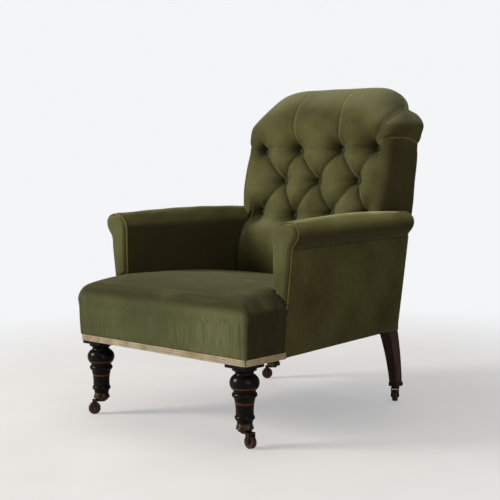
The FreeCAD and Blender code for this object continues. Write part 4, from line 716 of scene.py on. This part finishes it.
# The crest's corners: on the right both pleats run out to a puffed corner, on the left they
# have slackened. Places across, steps up from the outer button, and depth
RIGHT_CORNER = (
    ((outer_button, 0, 0.038), (0.219, 0.016, 0.023), (0.235, 0.044, 0.015),
     (0.249, 0.08, 0.012), (0.266, 0.1, 0.011), (0.286, 0.114, 0.011),
     (0.3448, 0.119, 0.011), (0.39, 0.116, 0.008)),
    ((outer_button, 0, 0.038), (0.225, 0.012, 0.024), (0.241, 0.02, 0.017),
     (0.268, 0.0255, 0.013), (0.315, 0.025, 0.011), (0.356, 0.02, 0.01),
     (0.405, 0.007, 0.009)),
)
LEFT_CORNER = (
    ((outer_button, 0, 0.038), (0.212, 0.014, 0.02), (0.216, 0.03, 0.008),
     (0.222, 0.05, 0.0035), (0.23, 0.08, 0.002), (0.242, 0.12, 0.001)),
    ((outer_button, 0, 0.038), (0.224, 0.003, 0.017), (0.245, 0.007, 0.007),
     (0.28, 0.009, 0.003), (0.36, 0.008, 0.001)),
)
corner_pleats = {side: [np.array(path) + (0, high_run_up, 0) for path in paths]
                 for side, paths in ((1, RIGHT_CORNER), (-1, LEFT_CORNER))}


def pleats_on(across, up, paths, spread, folded):
    """Depth of the pleats at places on the cover, the share of painted highlight along their folds
    and the share of painted shade in their hollows.
    """
    total = np.zeros_like(across)
    fold_highlight = np.zeros_like(across)
    hollow_shade = np.zeros_like(across)
    for path in paths:
        spots = np.array(path)
        ends = spots[:, :2]
        run_at = run_along(ends)
        nearest = np.full_like(across, 1e9)
        run_here = np.zeros_like(across)
        side = np.zeros_like(across)
        for start, end, span, done in zip(ends, ends[1:], np.diff(run_at), run_at):
            way = (end - start) / span
            run = np.clip((across - start[0]) * way[0] + (up - start[1]) * way[1], 0, span)
            off_x = across - start[0] - way[0] * run
            off_up = up - start[1] - way[1] * run
            gap = np.hypot(off_x, off_up)
            closer = gap < nearest
            nearest = np.where(closer, gap, nearest)
            run_here = np.where(closer, done + run, run_here)
            side = np.where(closer, off_up + 0.2 * off_x, side)
        depth = np.interp(run_here, run_at, spots[:, 2])
        # The upper side is folded over the lower one
        over = np.tanh(side / 0.004) if folded else np.zeros_like(side)
        width = (spread + 1.55 * depth) * (1 - 0.22 * over)
        near = np.clip(nearest / width, 0, 1)
        pillow = 1 - np.sqrt(1 - (1 - near) ** 2)
        sharp, soft = (0.70, 2.4) if folded else (0.35, 2.0)
        total += (depth * (sharp * pillow + (1 - sharp) * (1 - near) ** soft)) ** 5
        if folded:
            # Painted highlight along the upper lip of each folded pleat
            lip = np.exp(-((nearest - 0.0035) / 0.0026) ** 2) * (over > 0)
            fold_highlight = np.maximum(fold_highlight, lip * np.clip(depth / 0.006, 0, 1) * (depth < 0.036))
            # Painted shade in the hollow on the lower side of each folded pleat
            deep = np.clip((depth - 0.004) / 0.012, 0, 1)
            hollow_shade = np.maximum(hollow_shade, np.exp(-(nearest / 0.017) ** 1.6) * (over < 0) * deep)
    return total, fold_highlight, hollow_shade


def buttoned(across, up):
    """How deep pleats, buttons and small folds draw the cover in, with the painted highlights on its
    folds and the painted shade in its hollows.
    """
    total, fold_highlight, hollow_shade = np.zeros((3, *across.shape))
    # Pleats, the side they are on, how far they spread, whether folded, and the shares of their
    # painted fold highlights and painted hollow shade that show
    for paths, side, spread, folded, lip, low in (
            (folded_pleats, 1, 0.013, True, 1, 1), (soft_pleats, 1, 0.013, False, 0, 0),
            (upright_pleats, 1, 0.008, True, 0.55, 0), (corner_pleats[1], 1, 0.013, True, 1, 0),
            (corner_pleats[-1], -1, 0.013, True, 0, 0)):
        more, fold, dip = pleats_on(across * side, up, paths, spread, folded)
        total += more
        fold_highlight = np.maximum(fold_highlight, fold * lip)
        hollow_shade = np.maximum(hollow_shade, dip * low)
    depth = total ** 0.2
    for number, (place, run) in enumerate(all_buttons):
        away = np.hypot(across - place, up - run)
        angle = np.arctan2(up - run, across - place)
        folds = (np.sin(9 * angle + number * 1.7) + 0.8 * np.sin(14 * angle + number * 2.9)
                 + 0.5 * np.sin(23 * angle + number))
        depth += 0.0012 * folds * np.exp(-(away / 0.030) ** 1.5) * eased(0.009, 0.018, away)
        pit = button_depth * np.exp(-(away / 0.020) ** 1.6)
        depth = (depth ** 6 + pit ** 6) ** (1 / 6)
    depth += 0.0008 * np.sin(across * 37 + up * 9) * np.sin(up * 41 + across * 13)
    return np.minimum(depth, button_depth + 0.0005), fold_highlight, hollow_shade


def button_shade(across, up):
    """How much painted shade each place gets from nearness to a button, most of all on its left."""
    shade = np.zeros(np.broadcast(across, up).shape)
    for place, run in all_buttons:
        away = np.hypot(across - place + 0.007, up - run + 0.003)
        shade = np.maximum(shade, np.exp(-(away / 0.033) ** 1.6))
    return shade


run_up = np.gradient(base, axis=0)
run_round = np.roll(base, -1, axis=1) - np.roll(base, 1, axis=1)
outward = unit(np.cross(run_round, run_up))
# Where the wings step out over the arms the cover is drawn in level
level = unit(np.cross(run_round * np.array((1, 1, 0)), np.array((0, 0, 1.0))))
near_step = (1 - eased(0.012, 0.045, np.abs(runs - wing_run[0])))[:, None, None]
outward = unit(outward * (1 - near_step) + level * near_step)
steps = np.linalg.norm(np.diff(base, axis=1, append=base[:, :1]), axis=2)
run_right = np.cumsum(np.concatenate([np.zeros((len(base), 1)), steps[:, :-1]], axis=1), axis=1)
whole = steps.sum(axis=1)[:, None]
across = np.where(run_right > whole / 2, run_right - whole, run_right)
depth, fold_highlight, hollow_shade = buttoned(across, np.repeat(runs[:, None], base.shape[1], axis=1))
fold_highlight *= 1 - near_step[:, :, 0]
wing_foot = ((runs >= wing_run[0]) * (1 - eased(0.006, 0.035, runs - wing_run[0])))[:, None]
beyond = eased(0.222, 0.238, np.abs(base[:, :, 0]))
depth = depth * (1 - wing_foot * beyond)
back_rings = base - outward * depth[:, :, None]
back_velvet = velvet("back_velvet", (0.058, 0.049, 0.016), (0.118, 0.112, 0.040), 0.30, 0.62)
# Painted shade on the back's sides
paint_light_and_shade(back_velvet, "side_shade", (0.046, 0.037, 0.013))
# Painted shade round the buttons and in the pleats' hollows
paint_light_and_shade(back_velvet, "pit_shade", (0.026, 0.022, 0.008))
# Painted highlight on the up-facing top of the crest
paint_light_and_shade(back_velvet, "wear_and_highlight", (0.270, 0.262, 0.150))
# Painted highlight along the upper lips of the folded pleats
paint_light_and_shade(back_velvet, "fold", (0.30, 0.28, 0.12))
back = skin("back", back_rings, back_velvet)
# Painted highlight along the folds
share_of(back, "fold", fold_highlight * 0.55)
# Painted shade on the sides, less on the puffed right corner of the crest
puffed = eased(0.18, 0.30, across) * eased(-0.01, 0.04, runs - high_run_up)[:, None]
to_the_side = eased(0.12, 0.85, np.abs(outward[:, :, 0]))
share_of(back, "side_shade", to_the_side * (0.8 - 0.5 * puffed))
# Painted shade round the buttons and in the pleats' hollows
share_of(back, "pit_shade", np.maximum(button_shade(across, runs[:, None]) * 0.78, hollow_shade * 0.62))
# Painted highlight where the cover faces upwards
share_of(back, "wear_and_highlight", eased(0.35, 0.95, outward[:, :, 2]) * 0.28)
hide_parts("back_cover", "back_stuffing")

# Buttons
# Domed moulds covered in the same velvet, at the bottoms of the pits. Their velvet is painted darker
# than the back's, as painted shade in the pits.
shaded_button_velvet = velvet("shaded_button_velvet", (0.030, 0.025, 0.009), (0.062, 0.056, 0.021), 0.2, 0.3)
BUTTON_DOME = ((0.006, -0.003), (0.0108, -0.001), (0.0112, 0.001), (0.0104, 0.0032),
               (0.0082, 0.005), (0.005, 0.0062), (0.0018, 0.0067))
back_lean = math.radians(9)
button_axis = np.array((0, -math.cos(back_lean), math.sin(back_lean)))
button_up = np.array((0, math.sin(back_lean), math.cos(back_lean)))
button_right = np.array((1.0, 0, 0))
for number, (place, run) in enumerate(all_buttons, 1):
    ring_at = int(np.abs(runs - run).argmin())
    column_at = int(np.abs(across[ring_at] - place).argmin())
    middle = back_rings[ring_at, column_at]
    dome = [[middle + button_axis * (height - 0.0012) + radius * (
        button_right * math.cos(a) - button_up * math.sin(a))
        for a in np.linspace(0, 2 * math.pi, 24, endpoint=False)] for radius, height in BUTTON_DOME]
    button = skin(f"button_{number:02d}", dome, shaded_button_velvet)
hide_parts("back_buttons")

# Arms
# A roll over the arm rail and a pad down the inside, hair under velvet. The velvet is
# gathered at the front behind the facing and closed behind with a folded end.
neck = (0.341, 0.487)
scroll_width, scroll_height = 0.085, 0.059
arm_rear_y = 0.302
arm_pad_foot = 0.282
# Share across and up, then the outline's direction there in degrees
SCROLL = ((0.812, 0.0, 48), (1.0, 0.56, 90), (0.553, 1.0, 180), (0.0, 0.22, 270))


def heading(degrees):
    return np.array((math.cos(math.radians(degrees)), math.sin(math.radians(degrees))))


def curve_between(start, end, leaving, arriving, t):
    """A place on the smooth curve between two places, leaving and arriving as given."""
    return ((2 * t ** 3 - 3 * t ** 2 + 1) * start + (t ** 3 - 2 * t ** 2 + t) * leaving
            + (3 * t ** 2 - 2 * t ** 3) * end + (t ** 3 - t ** 2) * arriving)


def scroll(inset, rise, steps):
    """The roll's outline from its neck over to the inner face, as a right arm has it."""
    points = []
    for (x0, z0, a0), (x1, z1, a1) in zip(SCROLL, SCROLL[1:]):
        start = np.array((x0 * scroll_width, z0 * (scroll_height + rise)))
        end = np.array((x1 * scroll_width, z1 * (scroll_height + rise)))
        first, last = heading(a0), heading(a1)
        start += inset * np.array((-first[1], first[0]))
        end += inset * np.array((-last[1], last[0]))
        reach = np.hypot(*(end - start)) * 1.12
        points += [curve_between(start, end, reach * first, reach * last, step / steps)
                   for step in range(steps)]
    points.append(end)
    return np.array(points) + np.array((arm_inner_front, neck[1]))


def arm_ring(y, inset, rise):
    """A closed section of the arm's padding at a distance along it."""
    roll = scroll(inset, rise, 12)
    inner = np.array([(arm_inner_front + inset, z)
                      for z in np.linspace(roll[-1][1], arm_pad_foot + inset, 22)[1:]])
    under = neck[1] - 0.014
    hidden = np.array([(arm_inner_front + 0.021, arm_pad_foot + inset),
                       (arm_inner_front + 0.021, under), (neck[0] - 0.012, under)])
    section = np.vstack([roll, inner, hidden])
    section[:, 0] += arm_inner_slope * (y - arm_front_y)
    return np.column_stack([section[:, 0], np.full(len(section), y), section[:, 1]])


def arm_rings(side):
    rings = []
    front, rear = arm_front_y + 0.0005, arm_rear_y
    ease = 0.014
    stations = [(front, 0.004), (front + 0.002, 0.0015)]
    stations += [(y, 0.0) for y in np.linspace(front + 0.006, rear - ease, 130)]
    stations += [(rear - ease + ease * math.sin(angle), ease * (1 - math.cos(angle)))
                 for angle in np.linspace(0.2, math.pi / 2 * 0.97, 8)]
    for y, inset in stations:
        share = (y - front) / (rear - front)
        rise = roll_fullness * math.sin(math.pi * min(max(share, 0), 1))
        ring = arm_ring(y, inset, rise)
        turn_angle = np.arctan2(ring[:, 2] - 0.515, ring[:, 0] - ring[:, 0].mean())
        gathers = np.sin(turn_angle * 19 + 0.8) + 0.7 * np.sin(turn_angle * 31)
        pull = 0.0019 * gathers * math.exp(-(y - front) / 0.016) * min((y - front) / 0.004, 1)
        pull += 0.0007 * np.sin(turn_angle * 5 + y * 21) * np.sin(y * 37)
        middle = np.array((ring[:, 0].mean(), 0, 0.510))
        reach = unit((ring - middle) * np.array((1, 0, 1)))
        ring = ring + reach * (pull * (ring[:, 2] > neck[1] - 0.005))[:, None]
        ring[:, 0] *= side
        rings.append(ring)
    return rings


# The arms' velvet is painted lighter than the rest, a painted highlight on the tops of the rolls;
# the second colour is painted shade on the lower rolls and pads and all over the left arm
lit_arm_velvet = velvet("lit_arm_velvet", (0.125, 0.110, 0.035), (0.220, 0.205, 0.070), 0.30, 0.62)
paint_light_and_shade(lit_arm_velvet, "arm_shade", (0.036, 0.028, 0.011))
for side_name, side in SIDES:
    rings = arm_rings(side)
    arm = skin("arm_" + side_name, rings, lit_arm_velvet)
    heights_there = np.array(rings)[:, :, 2]
    least = 0.72 if side < 0 else 0.0
    # Painted shade: dark below the roll's top, and at least this dark all over the left arm
    share_of(arm, "arm_shade", np.maximum(0.92 * (1 - eased(0.505, 0.546, heights_there)), least))
    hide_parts("arm_cover_" + side_name, "arm_stuffing_" + side_name)

# Outside arms
# Velvet strained over hessian between the roll and the rail, tacked under both. Behind, it
# turns in round the arm and is tacked down the back post.
foot_width = 0.034
waist = (0.333, 0.445)
panel_thickness = 0.0016


def grid(x, y, z):
    """Rows of points from rows, columns or whole grids of each coordinate."""
    return np.stack(np.broadcast_arrays(x, y, z), axis=2)


def both_faces(outer, thickness):
    """Rings round a thin panel, from the rows of its outer face and its thickness there."""
    return np.concatenate([outer, (outer - thickness)[:, ::-1]], axis=1)


def outside_arm_rings(side):
    """The panel, a little full in its middle, in rows from the rail up to the roll."""
    low, high = rail_z + 0.0005, 0.4765
    front_y, rear_y = arm_front_y + 0.0004, 0.3008
    front_foot = arm_inner_front + foot_width - 0.0022
    rear_foot = 0.2505
    y = np.linspace(front_y, rear_y, 110)
    z = np.linspace(low, high, 56)[:, None]
    up = (z - low) / (high - low)
    run = (y - front_y) / (rear_y - front_y)
    foot_x = front_foot + (rear_foot - front_foot) * run
    top_x = 0.3365 + arm_inner_slope * (y - front_y)
    full = 0.0022 * np.sqrt(np.sin(math.pi * run)) * np.sqrt(np.sin(math.pi * up))
    fold = 0.0022 * np.maximum(1 - run * 0.56 / 0.006, 0) ** 2
    turn = 0.0060 * np.maximum(1 - (rear_y - y) / 0.009, 0) ** 2
    hem = 0.0022 * np.maximum(1 - (z - low) / 0.006, 0) ** 2
    ripple = 0.0005 * np.sin(y * 60 + 3 * up) * (1 - up)
    x = foot_x + (top_x - foot_x) * up + full - fold - turn - hem + ripple
    corner_x = x[:, -1:]
    post_x = np.minimum(np.interp(z, (0.300, 0.330), (0.2508, 0.2485)), corner_x - 0.0002)
    turned_in_x = corner_x + (post_x - corner_x) * np.linspace(0, 1, 16)[1:]
    outer = np.concatenate([grid(x, y, z), grid(turned_in_x, rear_y, z)], axis=1)
    thickness = np.zeros_like(outer)
    thickness[:, :len(y), 0] = panel_thickness
    thickness[:, len(y) - 1:, 1] = panel_thickness
    return both_faces(outer, thickness) * np.array((side, 1, 1))


side_velvet = velvet("outside_arm_velvet", (0.058, 0.049, 0.017), (0.094, 0.087, 0.030), 0.65, 0.58)
for side_name, side in SIDES:
    panel = skin("outside_arm_" + side_name + "_cover", outside_arm_rings(side), side_velvet)
    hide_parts("outside_arm_" + side_name)

# Facings
# A thin padded board closes the front of each arm. It follows the scroll, narrows to a
# point beside the seat, and its velvet is pinned over the edge against the piping.
facing_depth = 0.0135
piping_radius = 0.0027
# The foot is cut to the seat's shoulder, from the inner edge out to the tip
FACING_FOOT = ((0.272, 0.3775), (0.281, 0.3735), (0.290, 0.3675), (0.2985, 0.3605),
               (0.3055, 0.3535), (0.312, 0.3455), (0.317, 0.3385), (0.3205, 0.3325))
facing_tip_z = FACING_FOOT[-1][1]


def facing_outline(inset):
    """Neck, scroll, inner edge, tip and outer edge of a right facing, run round once."""
    roll = scroll(inset, 0.0, 12)
    foot_x = arm_inner_front + foot_width
    share = (facing_tip_z - rail_z) / (waist[1] - rail_z)
    tip_x = foot_x + (waist[0] - foot_x) * share - inset
    waist_x = waist[0] - inset
    foot_across, foot_heights = np.array(FACING_FOOT).T
    foot_lift = inset * 1.1
    inner_foot = float(np.interp(roll[-1][0], foot_across, foot_heights)) + foot_lift
    inner = [(roll[-1][0], z) for z in np.linspace(roll[-1][1], inner_foot, 24)[1:]]
    bottom = [(x, float(np.interp(x, foot_across, foot_heights)) + foot_lift)
              for x in np.linspace(roll[-1][0], tip_x, 12)[1:]]
    tip_z = bottom[-1][1]
    straight = [(tip_x + (waist_x - tip_x) * t, tip_z + (waist[1] - tip_z) * t)
                for t in np.linspace(0, 1, 18)[1:]]
    start, end = np.array(straight[-1]), roll[0]
    first = unit(np.array((waist[0] - foot_x, waist[1] - rail_z)))
    last = heading(SCROLL[0][2])
    reach = np.hypot(*(end - start))
    bend = [curve_between(start, end, reach * first, reach * last, t)
            for t in np.linspace(0, 1, 10)[1:-1]]
    return np.vstack([roll, inner, bottom, straight, bend])


def facing_rings(side):
    """Rings over the rounded rim and a little way into the face, which is closed flat."""
    edge = piping_radius * 2 + 0.0004
    back_y = arm_front_y - 0.0004
    rim_share = 0.38
    rims = [(edge, 0.0)]
    rims += [(edge + 0.0105 * (1 - math.cos(angle)),
              facing_depth * (rim_share + (1 - rim_share) * math.sin(angle)))
             for angle in np.linspace(0, math.pi / 2, 10)]
    shapes = []
    for inset, forward in rims:
        line = facing_outline(inset)
        shapes.append(np.insert(line, 1, back_y - forward, axis=1))
    last = shapes[-1]
    middle_x = np.interp(last[:, 2], (facing_tip_z, waist[1], 0.55), (0.300, 0.302, 0.311))
    middle = np.column_stack([middle_x, last[:, 1], last[:, 2] * 0.9 + 0.1 * last[:, 2].mean()])
    for share in (0.15, 0.3, 0.45):
        ring = last + (middle - last) * share
        ring[:, 1] -= 0.0010 * math.sin(share / 0.45 * math.pi / 2)
        shapes.append(ring)
    return np.array(shapes) * np.array((side, 1, 1))


facing_velvet = velvet("facing_velvet", (0.068, 0.063, 0.023), (0.122, 0.122, 0.045), 0.3, 0.9)
for side_name, side in SIDES:
    facing = skin("facing_" + side_name, facing_rings(side), facing_velvet, flat_end=True)
    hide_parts("arm_facing_" + side_name)

# Piping
# A cord covered in a bias strip of the velvet, sewn round the facing's edge. It has worn
# to an olive gold.
piping_velvet = velvet("piping_velvet", (0.085, 0.070, 0.018), (0.175, 0.150, 0.045), 0.1, 0.5)


def piping_line():
    """Right round the facing, from its tip."""
    outline = facing_outline(piping_radius)
    low = int(outline[:, 1].argmin())
    closed = np.vstack([outline[low:], outline[:low + 1]])
    run = run_along(closed)
    line = places_at(closed, run, np.linspace(0, run[-1], 190))
    return np.insert(line, 1, arm_front_y - 0.0003 - piping_radius, axis=1)


cord = [(piping_radius * math.cos(angle), piping_radius * math.sin(angle))
        for angle in np.linspace(0, 2 * math.pi, 12, endpoint=False)]
for side_name, side in SIDES:
    path = piping_line() * np.array((side, 1, 1))
    piping = swept("piping_" + side_name, path, (0, 1, 0), cord, piping_velvet)
    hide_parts("facing_piping_" + side_name)

# Outside back
# One panel of the velvet over the rear of the posts, blind-stitched down its sides under
# the crest roll and tacked under the rear rail.
# Height, half width and the panel's rear face there
OUTSIDE_BACK = ((0.2065, 0.25, 0.2998), (0.27, 0.25, 0.2998), (0.552, 0.265, 0.3425),
                (0.7895, 0.265, 0.3784))


def outside_back_rings():
    """Level rings, a little full in the middle and turned in at the sides."""
    heights, half_widths, rear_faces = np.array(OUTSIDE_BACK).T
    z = np.linspace(heights[0], heights[-1], 96)[:, None]
    share = np.linspace(-1, 1, 84)
    half_width = np.interp(z, heights, half_widths)
    up = (z - heights[0]) / (heights[-1] - heights[0])
    upright = np.sin(math.pi * up)
    full = 0.0026 * (1 - share ** 4) * np.sqrt(upright)
    slack = 0.0006 * np.sin(share * 19 + 4 * up) * upright
    turned = 0.0010 * np.maximum(1 - half_width * (1 - np.abs(share)) / 0.004, 0) ** 2
    y = np.interp(z, heights, rear_faces) + full + slack - turned
    return both_faces(grid(half_width * share, y, z), grid(0, panel_thickness + slack - turned, 0))


back_panel_velvet = velvet("outside_back_velvet", (0.052, 0.042, 0.014), (0.098, 0.088, 0.030),
                           0.40, 0.55)
back_panel = skin("outside_back_cover", outside_back_rings(), back_panel_velvet)
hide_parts("outside_back")

# Dust cover
# Black cotton tacked under the seat rails, cut round the legs. It sags a little between
# the rails and lifts in small waves between its tacks.
dust_cover_z, cotton_thickness = 0.2027, 0.0007
# From the front edge backwards: place and half width, stepping in at the legs
DUST_COVER = ((-0.3865, 0.2295), (-0.3265, 0.2295), (-0.326, 0.2895), (0.2495, 0.2405),
              (0.25, 0.2045), (0.2845, 0.2045))


def dust_cover_rings():
    """Rings across the cloth, from the front edge backwards."""
    places, half_widths = np.array(DUST_COVER).T
    y = np.unique(np.concatenate([np.linspace(places[0], places[-1], 90), places]))[:, None]
    share = np.linspace(-1, 1, 80)
    back = (y - places[0]) / (places[-1] - places[0])
    inside = (1 - share ** 4) * np.sin(math.pi * back)
    sag = 0.0050 * inside + 0.0007 * inside * np.sin(share * 9 + 11 * back)
    wave = 0.0004 * (1 + np.sin(y * 210)) * np.abs(share) ** 12
    half_width = np.interp(y, places, half_widths)
    return both_faces(grid(half_width * share, y, dust_cover_z - sag - wave),
                      grid(0, 0, -cotton_thickness - wave))


black_cotton = woven("black_cotton", (0.012, 0.012, 0.012), (0.035, 0.035, 0.035), 260)
dust_cover = skin("dust_cover_cloth", dust_cover_rings(), black_cotton)
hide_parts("dust_cover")

# Floor, light and camera
# A plain pale floor that runs out into a pale wall, a broad soft window light from the front
# left, and weak lights from the ceiling and the right.
backdrop_colour = (0.90, 0.91, 0.93)
floor_half = 30.0
floor_mesh = bpy.data.meshes.new("floor")
floor_mesh.from_pydata([(x * floor_half, y * floor_half, 0)
                        for x, y in ((-1, -1), (1, -1), (1, 1), (-1, 1))], [], [(0, 1, 2, 3)])
floor = in_scene("floor", floor_mesh)
floor_material, floor_tree, floor_shader, floor_place = new_material("pale_floor")
floor_grain = grain(floor_tree, floor_place, (1, 1, 1), 3, 2)
floor_colour = colour_between(floor_tree, floor_grain, (0.44, 0.40, 0.36), (0.48, 0.44, 0.40))
fill(floor_tree, floor_shader.inputs["Base Color"], floor_colour)
fill(floor_tree, floor_shader.inputs["Roughness"], 0.8)


def emission(tree, colour, strength):
    return new_node(tree, "ShaderNodeEmission", {"Color": colour, "Strength": strength}).outputs[0]


def shader_mix(tree, kind, first, second, amount=None):
    mix = tree.nodes.new(kind)
    sockets = [socket for socket in mix.inputs if socket.type == "SHADER"]
    tree.links.new(first, sockets[0])
    tree.links.new(second, sockets[1])
    if amount is not None:
        tree.links.new(amount, mix.inputs[0])
    return mix.outputs[0]


# To the camera the floor is brighter, and from two metres away it is the wall's colour
brightened = shader_mix(floor_tree, "ShaderNodeAddShader", floor_shader.outputs[0],
                    emission(floor_tree, backdrop_colour, 0.42))
distance = new_node(floor_tree, "ShaderNodeVectorMath", {0: floor_place}, operation="LENGTH")
far = within(floor_tree, distance.outputs["Value"], 0.6, 2.2)
far.interpolation_type = "SMOOTHSTEP"
shown = shader_mix(floor_tree, "ShaderNodeMixShader", brightened,
                   emission(floor_tree, backdrop_colour, 1.0), far.outputs["Result"])
floor_paths = floor_tree.nodes.new("ShaderNodeLightPath")
floor_out = shader_mix(floor_tree, "ShaderNodeMixShader", floor_shader.outputs[0], shown,
                       floor_paths.outputs["Is Camera Ray"])
floor_tree.links.new(floor_out, floor_tree.nodes["Material Output"].inputs["Surface"])
floor_mesh.materials.append(floor_material)

world = bpy.data.worlds.new("room")
world.use_nodes = True
bpy.context.scene.world = world
ambient = world.node_tree.nodes["Background"]
fill(world.node_tree, ambient.inputs["Color"], (0.90, 0.95, 1.0))
fill(world.node_tree, ambient.inputs["Strength"], 0.16)
backdrop = new_node(world.node_tree, "ShaderNodeBackground", {"Color": backdrop_colour})
paths = world.node_tree.nodes.new("ShaderNodeLightPath")
room = shader_mix(world.node_tree, "ShaderNodeMixShader", ambient.outputs[0],
                  backdrop.outputs[0], paths.outputs["Is Camera Ray"])
world.node_tree.links.new(room, world.node_tree.nodes["World Output"].inputs["Surface"])


def soft_lamp(name, place, target, size, power, colour):
    lamp = bpy.data.lights.new(name, "AREA")
    lamp.size = size
    lamp.energy = power
    lamp.color = colour
    holder = in_scene(name, lamp)
    holder.location = place
    holder.rotation_euler = (Vector(target) - Vector(place)).to_track_quat("-Z", "Y").to_euler()


soft_lamp("window", (-2.9, -3.5, 2.5), (0, 0, 0.5), 1.5, 215, (1.0, 0.98, 0.93))
soft_lamp("ceiling", (-0.2, 0.3, 3.0), (0, 0.1, 0.5), 2.0, 30, (0.97, 0.99, 1.0))
soft_lamp("room_fill", (3.0, -1.2, 1.3), (0, 0, 0.45), 2.2, 23, (1.0, 0.93, 0.83))

# Turned round the chair, raised and rolled as the photograph was taken
camera_place = (2.1237, -2.3378, 0.7191)
yaw, pitch, roll = math.radians(42.90), math.radians(5.02), math.radians(-0.432)
camera_data = bpy.data.cameras.new("view")
camera_data.sensor_width = 36
camera_data.lens = 81.58
camera = in_scene("view", camera_data)
camera.matrix_world = (
    Matrix.Translation(camera_place) @ Matrix.Rotation(yaw, 4, "Z")
    @ Matrix.Rotation(math.pi / 2 - pitch, 4, "X") @ Matrix.Rotation(roll, 4, "Z"))
bpy.context.scene.camera = camera
bpy.context.scene.view_settings.view_transform = "Standard"
